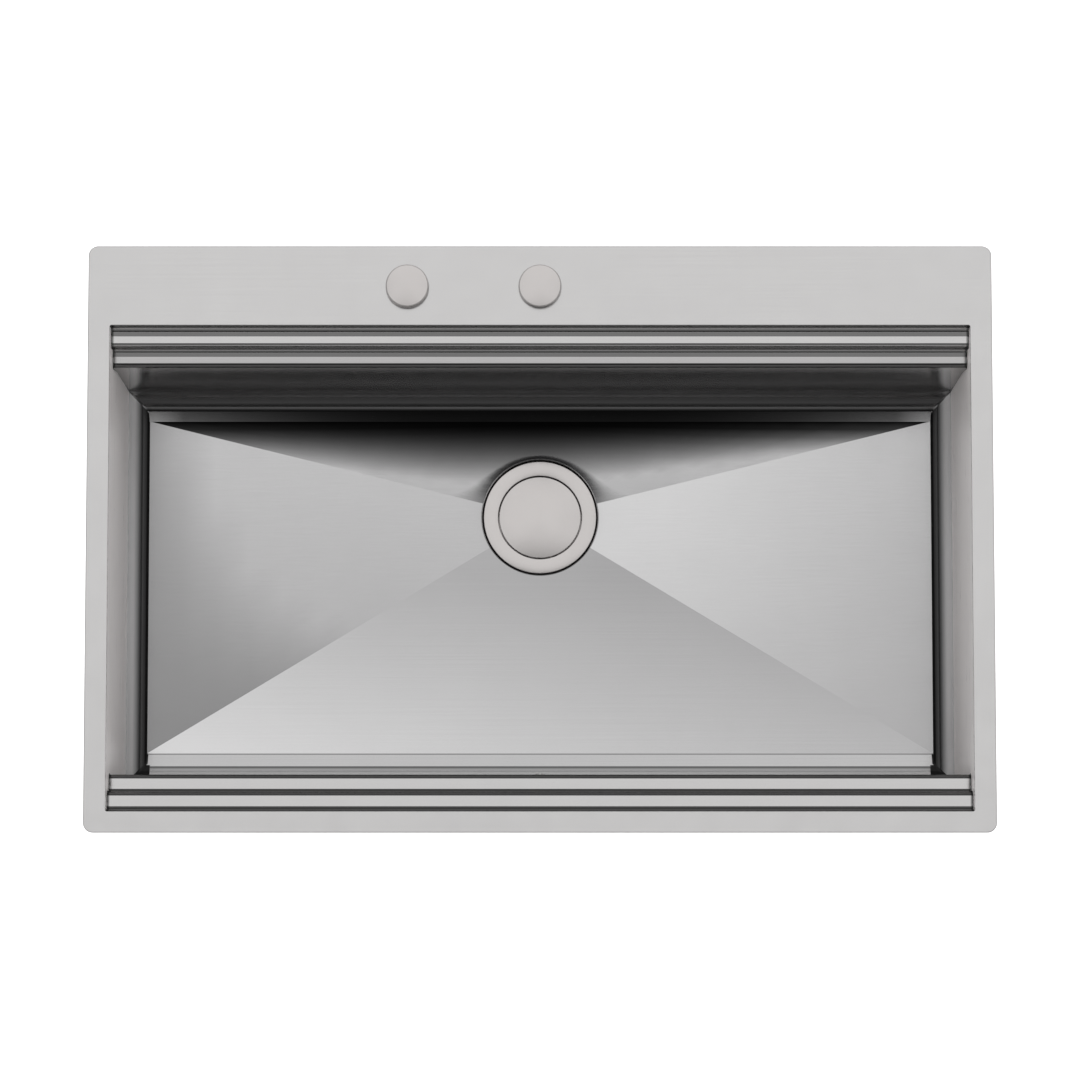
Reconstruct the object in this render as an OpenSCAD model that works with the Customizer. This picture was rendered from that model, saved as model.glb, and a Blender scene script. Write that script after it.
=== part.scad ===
// Workstation kitchen sink for a worktop cut-out: a flat deck, a deep bowl with two
// ledges front and rear for sliding boards, a pop-up basket waste and an overflow.
// X runs along the sink, Y from front to rear, Z up.
// The origin lies on the worktop's upper face, at the centre of the sink in plan.

/* [Deck] */
// Length of the deck along X
overall_w = 786; // [700:1:900]
// Depth of the deck from front to rear
overall_d = 510; // [490:1:560]
// Thickness of the steel sheet of the deck and bowl
sheet_t = 1.2; // [0.9:0.1:1.5]
// Radius of the deck's four outer corners
corner_r = 8.5; // [4:0.5:14]
// Width of the deck beside the bowl, left and right
side_rim = 19.2; // [18:0.2:26]
// Width of the deck in front of the bowl
front_rim = 18.5; // [17.5:0.5:26]
// Width of the deck behind the bowl, where the tap stands
rear_deck = 69.5; // [66:0.5:90]
// Diameter of the two tap holes in the deck
tap_hole_d = 35; // [34:0.5:36]
// Distance of the tap holes from the deck's rear edge
tap_hole_inset = 36; // [34:0.5:40]
// Distance between the tap hole and the control's hole
control_spacing = 115.4; // [100:0.2:130]

/* [Rim seal] */
// Thickness of the seal between deck and worktop
seal_t = 1; // [0.6:0.1:1.5]
// Width of the seal
seal_w = 7; // [5:0.5:8]
// Distance of the seal from the deck's outer edge
seal_inset = 1.5; // [1:0.5:2]
// Margin of the deck that lies on the worktop around its cut-out
lap = 10; // [9:0.5:11]

/* [Ledges] */
// Width of the upper ledge, from the deck's edge to its lip
upper_ledge_w = 17; // [15:0.5:19]
// Width of the lower ledge, from the upper lip to the bowl's wall
lower_ledge_w = 16; // [14:0.5:20]
// Height of the deck's face above the upper ledge
upper_drop = 13; // [11.5:0.5:16]
// Height of the upper ledge above the lower one
lower_drop = 16; // [12:0.5:20]
// Inner radius of the bend at the foot of the upper riser
upper_foot_r = 4.8; // [3:0.2:5]
// Inner radius of the bend at the foot of the lower riser
lower_foot_r = 3.5; // [2.5:0.1:5]
// Outer radius of the bend at the upper ledge's lip
upper_lip_r = 3; // [2:0.1:4]
// Outer radius of the bend at the lower ledge's lip
lower_lip_r = 3.6; // [2:0.1:4]

/* [Bowl] */
// Depth of the bowl from the deck's face to the edge of the floor
bowl_depth = 200; // [180:1:230]
// Inner radius of the bend between walls and floor
bottom_r = 15; // [10:0.5:20]
// Height of the floor pan's straight edge above its bend
seam_rise = 3; // [2:0.5:8]
// Flat margin of the floor at the left and right
side_margin = 2.8; // [1:0.2:10]
// Flat margin of the floor at the front and rear
end_margin = 11.5; // [6:0.5:16]
// Fall of the floor's four faces from the margins to the drain's centre
floor_fall = 8; // [5:0.5:10]
// Distance of the drain's centre from the rear wall
drain_back = 113.7; // [108:0.1:150]

/* [Strainer] */
// Outer diameter of the strainer ring
ring_d = 102.6; // [100:0.2:104]
// Inner diameter of the strainer ring and its cup
cup_d = 76.3; // [74:0.1:78]
// Thickness of the steel of ring and cup
ring_t = 1.2; // [0.8:0.1:1.5]
// Width of the bevels on the ring's edges
ring_bevel = 0.4; // [0.2:0.1:0.5]
// Depth of the cup below the ring's face
cup_depth = 27; // [25:0.5:32]
// Diameter of the round recess pressed into the floor for the ring
recess_d = 105; // [104.5:0.1:108]
// Depth of the recess's floor below the margins of the bowl's floor
recess_drop = 9.5; // [9:0.1:12]
// Diameter of the drain hole in the floor
drain_hole_d = 90; // [88:0.5:92]
// Thickness of the gasket between ring and floor
ring_gasket_t = 1.5; // [1:0.1:2]
// Thickness of the gasket between floor and waste body
body_gasket_t = 2; // [1.5:0.1:3]
// Number of drain holes in the cup's floor
cup_hole_n = 8; // [6:1:8]
// Diameter of each drain hole in the cup's floor
cup_hole_d = 11; // [8:0.5:12]
// Distance of the cup's drain holes from its centre
cup_hole_pitch_r = 20; // [19:0.5:21]

/* [Basket and cover] */
// Gap between the drain cover and the ring around it
cover_gap = 0.95; // [0.8:0.05:1.5]
// Thickness of the drain cover
cover_t = 1.5; // [1:0.1:2]
// Diameter of the peg under the drain cover
cover_peg_d = 5; // [4:0.5:5.5]
// Length of the peg under the drain cover
cover_peg_l = 8; // [6:0.5:12]
// Gap between the basket and the cup's wall
basket_gap = 1.4; // [1:0.1:2]
// Thickness of the basket's steel
basket_t = 0.8; // [0.6:0.1:1.2]
// Diameter of the basket's centre post
post_d = 9; // [8:0.5:10]
// Diameter of the holes in the basket's floor
basket_hole_d = 3.2; // [2.5:0.1:3.6]
// Diameter of the holes in the basket's wall
side_hole_d = 5; // [4:0.5:6]
// Number of holes in the basket's wall
side_hole_n = 16; // [12:1:20]
// Thickness of the rubber plug seal under the basket
plug_seal_t = 2.5; // [2:0.1:3]
// Width of the plug seal
plug_seal_w = 7; // [5:0.5:8]

/* [Waste body] */
// Wall thickness of the waste body
body_wall = 3; // [2.5:0.1:4]
// Inner diameter of the waste body
body_d = 84; // [83:0.5:86]
// Width of the flange at the waste body's mouth
body_flange_w = 7; // [5.5:0.5:8]
// Thickness of that flange
body_flange_t = 4; // [3:0.5:5]
// Outer diameter of the outlet's G 1 1/2 thread
outlet_d = 47.8; // [47.6:0.1:48]
// Length of the outlet
outlet_l = 32; // [28:1:40]
// Wall thickness of the outlet
outlet_wall = 3.5; // [3:0.1:4]
// Height of the cone between waste body and outlet
cone_h = 14; // [12:0.5:20]
// Outer diameter of the hollow centre screw
centre_screw_d = 12; // [11:0.5:13]
// Height of the centre screw's head
centre_head_h = 2.2; // [1.8:0.1:2.3]
// Diameter of the centre screw's head
centre_head_d = 18; // [16:0.5:20]
// Height of the boss that takes the centre screw
boss_h = 14; // [12:0.5:16]
// Thickness of the four arms that carry the boss
arm_t = 4; // [3:0.5:5]
// Height of those arms
arm_h = 8; // [6:0.5:8]

/* [Pop-up linkage] */
// Diameter of the lift pin
lift_pin_d = 5.9; // [5:0.1:7]
// Rise of the basket when the waste opens
lift_travel = 8; // [7:0.5:9]
// Length of the lever from its pivot to the lift pin
lever_reach = 32; // [30:0.5:33]
// Length of the lever's upright arm, which the cable pulls
lever_arm = 9; // [8:0.5:10]
// Width of the lever
lever_w = 6; // [5:0.5:7]
// Diameter of the lever's rounded ends
lever_end_d = 6; // [5.5:0.5:6.5]
// Diameter of the lever's pivot pin
pivot_d = 3; // [2.5:0.1:3.5]
// Thickness of the two ears that hold the pivot pin
ear_t = 2.5; // [2:0.5:3.5]

/* [Push control] */
// Diameter of the two round caps on the rear deck
cap_d = 37.2; // [36.8:0.1:38]
// Travel of the push cap
button_travel = 4; // [3:0.5:5]
// Thickness of the push cap's disc
button_cap_t = 2; // [1.5:0.1:3]
// Width of the bevel around both caps
cap_bevel = 0.5; // [0.3:0.1:0.8]
// Thickness of the gasket under the control's flange
control_gasket_t = 0.5; // [0.4:0.1:1]
// Thickness of the control's flange on the deck
bush_flange_t = 1.2; // [1:0.1:2]
// Outer diameter of the control's threaded bush
bush_d = 33.6; // [33:0.1:33.8]
// Length of the bush below its flange
bush_l = 38; // [36:1:44]
// Diameter of the plunger
plunger_d = 28; // [26:0.5:29]
// Length of the plunger below the cap
plunger_l = 21; // [20:0.5:24]
// Diameter of the return spring
spring_d = 20; // [16:0.5:22]
// Thickness of the return spring's wire
spring_wire = 1.6; // [1.2:0.1:2]
// Size of the bush's nut across its corners
control_nut_d = 48; // [44:0.5:50]
// Thickness of the bush's nut
control_nut_t = 6; // [5:0.5:8]

/* [Control cable] */
// Diameter of the cable's sheath
cable_d = 5; // [4:0.5:6]
// Bend radius of the cable
cable_bend_r = 40; // [30:1:45]
// Length of the cable held in each end socket
cable_grip = 8; // [6:0.5:10]
// Diameter of the sockets that hold the cable's ends
gland_d = 11; // [10:0.5:12]
// Length of each socket
gland_l = 12; // [11:0.5:14]

/* [Tap-hole cover] */
// Height of the tap-hole cover's cap
blank_cap_h = 7; // [5:0.5:9]
// Thickness of the seal under that cap
blank_seal_t = 1; // [0.6:0.1:1.5]
// Diameter of the cover's threaded stud
stud_d = 8; // [6:0.5:10]
// Length of the stud
stud_l = 34; // [30:1:40]
// Diameter of the washer under the deck
blank_washer_d = 44; // [40:1:46]
// Thickness of that washer
blank_washer_t = 2; // [1.5:0.1:3]
// Span of the wing nut
wing_span = 34; // [30:1:38]
// Height of the wing nut
wing_h = 12; // [10:0.5:14]
// Thickness of the wing nut's wings
wing_t = 3; // [2.5:0.1:4]
// Diameter of the wing nut's hub
wing_hub_d = 15; // [13:0.5:17]
// Thickness of the stiffening plate under the tap holes
stiffener_t = 2; // [1.5:0.1:3]
// Length of the stiffening plate
stiffener_w = 190; // [185:1:200]

/* [Overflow] */
// Depth of the overflow's centre below the deck's face
overflow_drop = 92; // [90:1:100]
// Diameter of the overflow hole in the front wall
overflow_hole_d = 28; // [26:0.5:30]
// Diameter of the overflow's cover plate
overflow_plate_d = 36; // [34:0.5:40]
// Thickness of the cover plate
overflow_plate_t = 1.5; // [1:0.1:2]
// Diameter of the holes in the cover plate
overflow_slot_d = 5.2; // [4.5:0.1:5.4]
// Diameter of the overflow screw
overflow_screw_d = 4; // [3:0.5:4.5]
// Diameter of the elbow outside the wall
elbow_d = 38; // [36:0.5:40]
// Depth of the elbow
elbow_depth = 22; // [21:0.5:24]
// Wall thickness of the elbow and of the hose tails
elbow_wall = 2; // [1.8:0.1:2.5]
// Thickness of the overflow's gasket
overflow_gasket_t = 2; // [1.5:0.1:3]
// Outer diameter of the overflow hose
hose_d = 22; // [21:0.5:23]
// Wall thickness of the hose
hose_wall = 2.5; // [2:0.1:3]
// Bend radius of the hose
hose_bend_r = 40; // [35:1:45]
// Length of each tail that the hose is pushed onto
tail_l = 20; // [16:0.5:24]
// Width of the two hose clips
hose_clip_w = 8; // [6:0.5:10]
// Thickness of the two hose clips
hose_clip_t = 1.2; // [1:0.1:2]

/* [Fixing clips] */
// Thinnest worktop that the clips can hold
worktop_min = 20; // [18:1:22]
// Climb of the claws, from the thickest worktop to the thinnest
clip_climb = 24; // [18:1:30]
// Reach of a claw from its screw
claw_reach = 34; // [32:0.5:38]
// Width of a claw
claw_w = 13; // [12:0.5:14]
// Thickness of a claw's plate
claw_t = 2; // [1.5:0.1:2.5]
// Height of a claw's tooth
tooth_h = 6; // [5:0.5:6.5]
// Diameter of a clip screw
clip_screw_d = 5; // [4:0.5:5.5]
// Thickness of a clip's bracket
bracket_t = 1.5; // [1.2:0.1:2]
// Width of a clip's bracket
bracket_w = 18; // [14:1:24]
// Distance of the front clips from the centre of the sink, left and right
front_clip_x = 290; // [260:1:310]
// Distance of the outer rear clips from the centre of the sink
rear_clip_x = 290; // [260:1:310]
// Place of the middle rear clip, clear of the tap holes
rear_mid_clip_x = 120; // [115:1:140]

/* [Sound pads] */
// Thickness of the sound-deadening pads
pad_t = 2.5; // [1.5:0.1:4]
// Height of the pads on the walls
pad_h = 80; // [60:1:88]
// Length of the pads on the front, rear and side walls
pad_l = 180; // [140:1:190]

/* [Hidden] */
CLIPS = [1, 2, 3, 4, 5, 6];
$fn = 64;

// clearances
seat_gap = 0.3;         // between faces of pieces that move apart
running = 0.05;         // radial, between a shaft and its hole
loose = 0.3;            // radial, around a screw in a plain hole
cut = 1;                // how far a cut runs past the face it opens
bend_steps = 8;         // straight steps of a bend
gasket_clear = 1.5;     // radial, between the cup and the waste gaskets
cup_room = 3;           // free height between the cup and the boss
pin_past = 2;           // of the lift pin below the boss when the waste is open
screw_past = 8;         // of a clip screw below its nut
hose_short = 2;         // of the hose from the root of each tail

// levels
deck_z = seal_t;                              // underside of the deck
face_z = deck_z + sheet_t;                    // face of the deck
upper_z = face_z - upper_drop;                // upper ledge
lower_z = upper_z - lower_drop;               // lower ledge
floor_z = face_z - bowl_depth;                // margins of the floor
seam_z = floor_z + bottom_r + seam_rise;      // weld between walls and floor pan
recess_z = floor_z - recess_drop;             // floor of the drain recess
ring_z = recess_z + ring_gasket_t + ring_t;   // face of the strainer ring

// plan
half_w = overall_w / 2 - side_rim;            // inner face of each side wall
front_y = -overall_d / 2 + front_rim;         // front edge of the opening
rear_y = overall_d / 2 - rear_deck;           // rear edge of the opening
ledge_w = upper_ledge_w + lower_ledge_w;
front_wall_y = front_y + ledge_w;             // inner face of the front wall
rear_wall_y = rear_y - ledge_w;               // inner face of the rear wall
drain_y = rear_wall_y - drain_back;
pan_d = rear_wall_y - front_wall_y;
pan_mid_y = (rear_wall_y + front_wall_y) / 2;
tap_y = overall_d / 2 - tap_hole_inset;
tap_r = tap_hole_d / 2;

// visible face of a stepped wall: distance from the opening's edge, and height
wall_path = [
    [0, deck_z], [0, upper_z], [upper_ledge_w, upper_z],
    [upper_ledge_w, lower_z], [ledge_w, lower_z], [ledge_w, seam_z]
];
wall_bends = [0, upper_foot_r, upper_lip_r, lower_foot_r, lower_lip_r, 0];

// strainer, from the ring's face down
ring_r = ring_d / 2;
cup_r = cup_d / 2;
cup_floor_z = ring_z - cup_depth;
cup_under_z = cup_floor_z - ring_t;
recess_r = recess_d / 2;
gasket_r = cup_r + ring_t + gasket_clear;              // inner radius of both waste gaskets
plug_seal_z = cup_floor_z + seat_gap;
basket_z = plug_seal_z + plug_seal_t;
basket_r = cup_r - basket_gap;
basket_top_z = ring_z - cover_t - seat_gap;
plug_seal_r = basket_r - 1;
post_bore_r = cover_peg_d / 2 + 2 * running;
cover_r = cup_r - cover_gap;
// rings of holes in the basket's floor: [radius, count]
basket_rings = [[9, 8], [14, 12], [19, 16], [24, 20]];

// waste body and linkage
body_r = body_d / 2;
body_z = recess_z - sheet_t - body_gasket_t;
boss_z = cup_under_z - cup_room;                     // top of the boss
boss_end_z = boss_z - boss_h;
boss_r = centre_screw_d / 2 + 4;
screw_end_z = boss_end_z + 2;
lift_pin_top_z = basket_z - seat_gap;
lift_pin_end_z = boss_end_z - lift_travel - pin_past;
lever_end_r = lever_end_d / 2;
lever_tip_z = lift_pin_end_z - seat_gap - lever_end_r;
pivot_x = -lever_reach;
pivot_z = lever_tip_z + lift_travel / 2;
lever_rest = asin(lift_travel / 2 / lever_reach);
lever_room = 3;                               // free height under the lever
hollow_end_z = lever_tip_z - lever_end_r - lever_room;
outlet_z = hollow_end_z - cone_h;
outlet_end_z = outlet_z - outlet_l;
outlet_r = outlet_d / 2;
gland_z = pivot_z + lever_arm;

// control
control_x = -control_spacing;
cap_r = cap_d / 2;
bush_face_z = face_z + control_gasket_t + bush_flange_t;
button_z = bush_face_z + button_travel + seat_gap;
plunger_end_z = button_z - plunger_l;
bush_r = bush_d / 2;
bush_end_z = bush_face_z - bush_flange_t - bush_l;
bush_floor_t = 4;
spring_z = bush_end_z + bush_floor_t;
bore_r = plunger_d / 2 + running;
nut_z = deck_z - stiffener_t;

// overflow
overflow_z = face_z - overflow_drop;
overflow_head_h = 1.8;
front_out_y = front_wall_y - sheet_t;
elbow_y = front_out_y - overflow_gasket_t;
hose_r = hose_d / 2;
hose_bore_r = hose_r - hose_wall;
tail_r = hose_bore_r - running;
hose_y = elbow_y - elbow_depth / 2 - 0.5;
elbow_tail_z = overflow_z - elbow_d / 2 - tail_l;
port_z = boss_end_z - 1;
port_y = drain_y - body_r - body_wall;

// fixing clips: [x, y, outboard direction, level that the bracket is welded to]
clip_z = -worktop_min - tooth_h;              // underside of the brackets
clip_inset = lap + 12;                        // of the screws from the deck's edge
front_clip_y = -overall_d / 2 + clip_inset + 2;
rear_clip_y = overall_d / 2 - clip_inset;
clip_places = [
    [-front_clip_x, front_clip_y, -1, upper_z - sheet_t],
    [0, front_clip_y, -1, upper_z - sheet_t],
    [front_clip_x, front_clip_y, -1, upper_z - sheet_t],
    [-rear_clip_x, rear_clip_y, 1, deck_z],
    [rear_mid_clip_x, rear_clip_y, 1, deck_z],
    [rear_clip_x, rear_clip_y, 1, deck_z]
];
claw_z = clip_z - seat_gap - clip_climb;      // upper face of a claw's plate at rest
clip_nut_t = 4;
clip_head_h = 3;
clip_nut_z = claw_z - claw_t - seat_gap;
clip_screw_end_z = clip_nut_z - clip_nut_t - screw_past;

// colours
steel = "#c8c6c4";
dark_steel = "#9c9a98";
rubber = "#2b2b2d";
plastic = "#3a3c40";
pad_grey = "#55565a";

// ---- sheet outlines: a path of the visible face, rounded at its corners ----

function unit(v) = v / norm(v);
function left(v) = [-v.y, v.x];
function way_in(p, i) = unit(i > 0 ? p[i] - p[i - 1] : p[1] - p[0]);
function way_out(p, i) = i < len(p) - 1 ? unit(p[i + 1] - p[i]) : way_in(p, i);
function turn_sign(p, i) = sign(way_in(p, i).x * way_out(p, i).y - way_in(p, i).y * way_out(p, i).x);
function reversed(p) = [for (i = [len(p) - 1:-1:0]) p[i]];

// corner i of path p, moved to the left by d
function side_corner(p, i, d) =
    let (a = left(way_in(p, i)), b = left(way_out(p, i)))
    p[i] + d * (a + b) / (1 + a * b);

// corner i of path p as an arc of radius r
function corner_arc(p, i, r) =
    let (
        u = way_in(p, i),
        angle = acos(u * way_out(p, i)),
        s = turn_sign(p, i),
        start = p[i] - r * tan(angle / 2) * u,
        centre = start + s * r * left(u),
        a0 = atan2(start.y - centre.y, start.x - centre.x)
    )
    [for (k = [0:bend_steps]) let (a = a0 + s * angle * k / bend_steps) centre + r * [cos(a), sin(a)]];

function rounded(p, r) =
    [for (i = [0:len(p) - 1]) each (i == 0 || i == len(p) - 1) ? [p[i]] : corner_arc(p, i, r[i])];

// the back of a sheet of thickness t that lies to the right of path p
function back_face(p, r, t) =
    rounded(
        [for (i = [0:len(p) - 1]) side_corner(p, i, -t)],
        [for (i = [0:len(p) - 1]) r[i] + turn_sign(p, i) * t]
    );

function sheet_outline(p, r, t) = concat(rounded(p, r), reversed(back_face(p, r, t)));

// ---- shared shapes ----

// rectangle of w by d, centred, with round corners
module round_rect(w, d, r) {
    square([w - 2 * r, d], center = true);
    square([w, d - 2 * r], center = true);
    for (x = [-1, 1], y = [-1, 1])
        translate([x * (w / 2 - r), y * (d / 2 - r)]) circle(r);
}

// upright rectangle on the X axis, centred, with both lower corners round
module round_foot(w, h, r) {
    translate([-w / 2, r]) square([w, h - r]);
    translate([-w / 2 + r, 0]) square([w - 2 * r, r]);
    for (x = [-1, 1]) intersection() {
        translate([x * (w / 2 - r), r]) circle(r);
        translate([-w / 2, 0]) square([w, r]);
    }
}

// outline in Y and Z, extruded along X from x0
module along_x(x0, length) {
    translate([x0, 0, 0]) rotate([90, 0, 90]) linear_extrude(length) children();
}

module ring(r_in, r_out, h) {
    difference() {
        cylinder(h = h, r = r_out);
        translate([0, 0, -cut]) cylinder(h = h + 2 * cut, r = r_in);
    }
}

module at_drain(z) {
    translate([0, drain_y, z]) children();
}

module at_control(z) {
    translate([control_x, tap_y, z]) children();
}

// ---- deck and bowl ----

module deck_plate() {
    color(steel) translate([0, 0, deck_z]) linear_extrude(sheet_t) difference() {
        round_rect(overall_w, overall_d, corner_r);
        translate([-half_w, front_y]) square([2 * half_w, rear_y - front_y]);
        translate([0, tap_y]) circle(tap_r);
        translate([control_x, tap_y]) circle(tap_r);
    }
}

module rim_seal() {
    outer_w = overall_w - 2 * seal_inset;
    outer_d = overall_d - 2 * seal_inset;
    outer_r = corner_r - seal_inset;
    color(rubber) linear_extrude(seal_t) difference() {
        round_rect(outer_w, outer_d, outer_r);
        square([outer_w - 2 * seal_w, outer_d - 2 * seal_w], center = true);
    }
}

module stepped_wall() {
    along_x(-half_w, 2 * half_w) polygon(sheet_outline(wall_path, wall_bends, sheet_t));
}

module front_wall() {
    color(steel) difference() {
        translate([0, front_y, 0]) stepped_wall();
        translate([0, front_wall_y, overflow_z]) rotate([90, 0, 0])
            cylinder(h = 4 * sheet_t, d = overflow_hole_d, center = true);
    }
}

module rear_wall() {
    color(steel) translate([0, rear_y, 0]) mirror([0, 1, 0]) stepped_wall();
}

// a side wall closes the ends of both stepped walls
module side_wall() {
    back = back_face(wall_path, wall_bends, sheet_t);
    along_x(half_w, sheet_t) polygon(concat(
        [for (q = back) [front_y + q.x, q.y]],
        [for (q = reversed(back)) [rear_y - q.x, q.y]]
    ));
}

module right_wall() {
    color(steel) side_wall();
}

module left_wall() {
    color(steel) mirror([1, 0, 0]) side_wall();
}

// block with a round foot on all four sides, its foot at z = 0
module tray_block(w, d, h, r) {
    intersection() {
        translate([0, d / 2, 0]) rotate([90, 0, 0]) linear_extrude(d) round_foot(w, h, r);
        along_x(-w / 2, w) round_foot(d, h, r);
    }
}

// the four falling faces, with their margins at z = 0 and their point under the drain
module floor_point() {
    x = half_w - bottom_r - side_margin;
    y0 = front_wall_y + bottom_r + end_margin;
    y1 = rear_wall_y - bottom_r - end_margin;
    h = sheet_t / 2;
    rim = [[-x, y0], [x, y0], [x, y1], [-x, y1]];
    polyhedron(
        points = concat(
            [for (p = rim) [p.x, p.y, h]],
            [for (p = rim) [p.x, p.y, 0]],
            [[0, drain_y, -floor_fall]]
        ),
        faces = concat(
            [[3, 2, 1, 0]],
            [for (i = [0:3]) let (j = (i + 1) % 4) [i, j, j + 4, i + 4]],
            [for (i = [0:3]) let (j = (i + 1) % 4) [i + 4, j + 4, 8]]
        )
    );
}

module floor_pan() {
    rise = bottom_r + seam_rise;
    color(steel) difference() {
        union() {
            translate([0, pan_mid_y, floor_z - sheet_t])
                tray_block(2 * (half_w + sheet_t), pan_d + 2 * sheet_t, rise + sheet_t, bottom_r + sheet_t);
            translate([0, 0, floor_z - sheet_t]) floor_point();
            at_drain(recess_z - sheet_t) cylinder(h = recess_drop, r = recess_r + sheet_t);
        }
        translate([0, pan_mid_y, floor_z])
            tray_block(2 * half_w, pan_d, rise + cut, bottom_r);
        translate([0, 0, floor_z]) floor_point();
        at_drain(recess_z) cylinder(h = recess_drop + cut, r = recess_r);
        at_drain(recess_z - sheet_t - cut) cylinder(h = sheet_t + 2 * cut, d = drain_hole_d);
    }
}

module tap_stiffener() {
    clear = 4;                                // to the rear wall and to the cut-out
    y0 = rear_y + sheet_t + clear;
    y1 = overall_d / 2 - lap - clear;
    color(dark_steel) translate([0, 0, nut_z]) linear_extrude(stiffener_t) difference() {
        translate([(control_x - stiffener_w) / 2, y0]) square([stiffener_w, y1 - y0]);
        translate([0, tap_y]) circle(tap_r);
        translate([control_x, tap_y]) circle(tap_r);
    }
}

module wall_pad(l) {
    cube([l, pad_t, pad_h], center = true);
}

// pads on the outside of the walls and under the two long falling faces
module sound_pads() {
    z = (lower_z + seam_z) / 2;
    side_x = half_w + sheet_t + pad_t / 2;
    slope = atan(floor_fall / (half_w - bottom_r - side_margin));
    floor_pad_x = half_w - bottom_r - side_margin - pad_l / 2 - 20;
    floor_pad_y = 90;
    color(pad_grey) {
        translate([0, rear_wall_y + sheet_t + pad_t / 2, z]) wall_pad(2 * pad_l);
        for (s = [-1, 1]) {
            translate([s * pad_l, front_out_y - pad_t / 2, z]) wall_pad(pad_l);
            translate([s * side_x, pan_mid_y, z]) rotate([0, 0, 90]) wall_pad(pad_l);
            translate([0, drain_y - 30, floor_z - sheet_t - floor_fall]) rotate([0, -s * slope, 0])
                translate([s * floor_pad_x, 0, -pad_t / 2])
                    cube([pad_l, floor_pad_y, pad_t], center = true);
        }
    }
}

// ---- strainer, basket and cover ----

module strainer_ring() {
    wall_r = cup_r + ring_t;
    hub_r = centre_screw_d / 2 + loose;
    color(steel) at_drain(0) difference() {
        rotate_extrude() polygon([
            [hub_r, cup_under_z], [wall_r, cup_under_z], [wall_r, ring_z - ring_t],
            [ring_r, ring_z - ring_t], [ring_r, ring_z - ring_bevel], [ring_r - ring_bevel, ring_z],
            [cup_r + ring_bevel, ring_z], [cup_r, ring_z - ring_bevel],
            [cup_r, cup_floor_z], [hub_r, cup_floor_z]
        ]);
        for (i = [0:cup_hole_n - 1]) rotate([0, 0, i * 360 / cup_hole_n])
            translate([cup_hole_pitch_r, 0, cup_under_z - cut]) cylinder(h = ring_t + 2 * cut, d = cup_hole_d);
    }
}

module ring_gasket() {
    color(rubber) at_drain(recess_z) ring(gasket_r, ring_r - 1, ring_gasket_t);
}

module body_gasket() {
    color(rubber) at_drain(body_z) ring(gasket_r, body_r + body_wall + body_flange_w, body_gasket_t);
}

module centre_screw() {
    color(steel) at_drain(0) difference() {
        union() {
            translate([0, 0, cup_floor_z]) cylinder(h = centre_head_h, d = centre_head_d);
            translate([0, 0, screw_end_z]) cylinder(h = cup_floor_z - screw_end_z, d = centre_screw_d);
        }
        translate([0, 0, screw_end_z - cut])
            cylinder(h = cup_floor_z - screw_end_z + centre_head_h + 2 * cut, r = lift_pin_d / 2 + running);
    }
}

module strainer_basket() {
    side_z = (basket_z + basket_top_z) / 2;
    peg_hole_l = cover_peg_l + 2;
    color(steel) at_drain(0) difference() {
        union() {
            translate([0, 0, basket_z]) difference() {
                cylinder(h = basket_top_z - basket_z, r = basket_r);
                translate([0, 0, 1]) cylinder(h = basket_top_z - basket_z, r = basket_r - basket_t);
            }
            translate([0, 0, basket_z]) cylinder(h = basket_top_z - basket_z, d = post_d);
        }
        translate([0, 0, basket_top_z - peg_hole_l]) cylinder(h = peg_hole_l + cut, r = post_bore_r);
        for (row = basket_rings, i = [0:row[1] - 1]) rotate([0, 0, i * 360 / row[1]])
            translate([row[0], 0, basket_z - cut]) cylinder(h = 2 + cut, d = basket_hole_d);
        for (i = [0:side_hole_n - 1]) rotate([0, 0, i * 360 / side_hole_n])
            translate([basket_r - 2 * basket_t, 0, side_z]) rotate([0, 90, 0])
                cylinder(h = 4 * basket_t, d = side_hole_d);
    }
}

module plug_seal() {
    color(rubber) at_drain(plug_seal_z) ring(plug_seal_r - plug_seal_w, plug_seal_r, plug_seal_t);
}

module drain_cover() {
    z0 = ring_z - cover_t;
    color(steel) at_drain(0) {
        rotate_extrude() polygon([
            [0, z0], [cover_r, z0], [cover_r, ring_z - ring_bevel], [cover_r - ring_bevel, ring_z], [0, ring_z]
        ]);
        translate([0, 0, z0 - cover_peg_l]) cylinder(h = cover_peg_l, d = cover_peg_d);
    }
}

// ---- waste body and the linkage inside it ----

module waste_shell() {
    out_r = body_r + body_wall;
    flange_r = out_r + body_flange_w;
    rotate_extrude() polygon([
        [body_r, body_z], [flange_r, body_z], [flange_r, body_z - body_flange_t],
        [out_r, body_z - body_flange_t], [out_r, hollow_end_z], [body_r, hollow_end_z]
    ]);
}

// hose tail towards the front, and cable socket towards the left
module waste_ports() {
    translate([0, -body_r, port_z]) rotate([90, 0, 0]) cylinder(h = body_wall + tail_l, r = tail_r);
    translate([-body_r, 0, gland_z]) rotate([0, -90, 0]) cylinder(h = body_wall + gland_l, d = gland_d);
}

module waste_port_bores() {
    translate([0, -body_r + 2 * cut, port_z]) rotate([90, 0, 0])
        cylinder(h = body_wall + tail_l + 3 * cut, r = tail_r - elbow_wall);
    translate([-body_r + 2 * cut, 0, gland_z]) rotate([0, -90, 0])
        cylinder(h = body_wall + gland_l, d = cable_d / 2);
    translate([-body_r - body_wall - gland_l + cable_grip, 0, gland_z]) rotate([0, -90, 0])
        cylinder(h = cable_grip + cut, r = cable_d / 2 + running);
}

module waste_body() {
    color(plastic) at_drain(0) difference() {
        union() {
            waste_shell();
            waste_ports();
        }
        waste_port_bores();
    }
}

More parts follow.
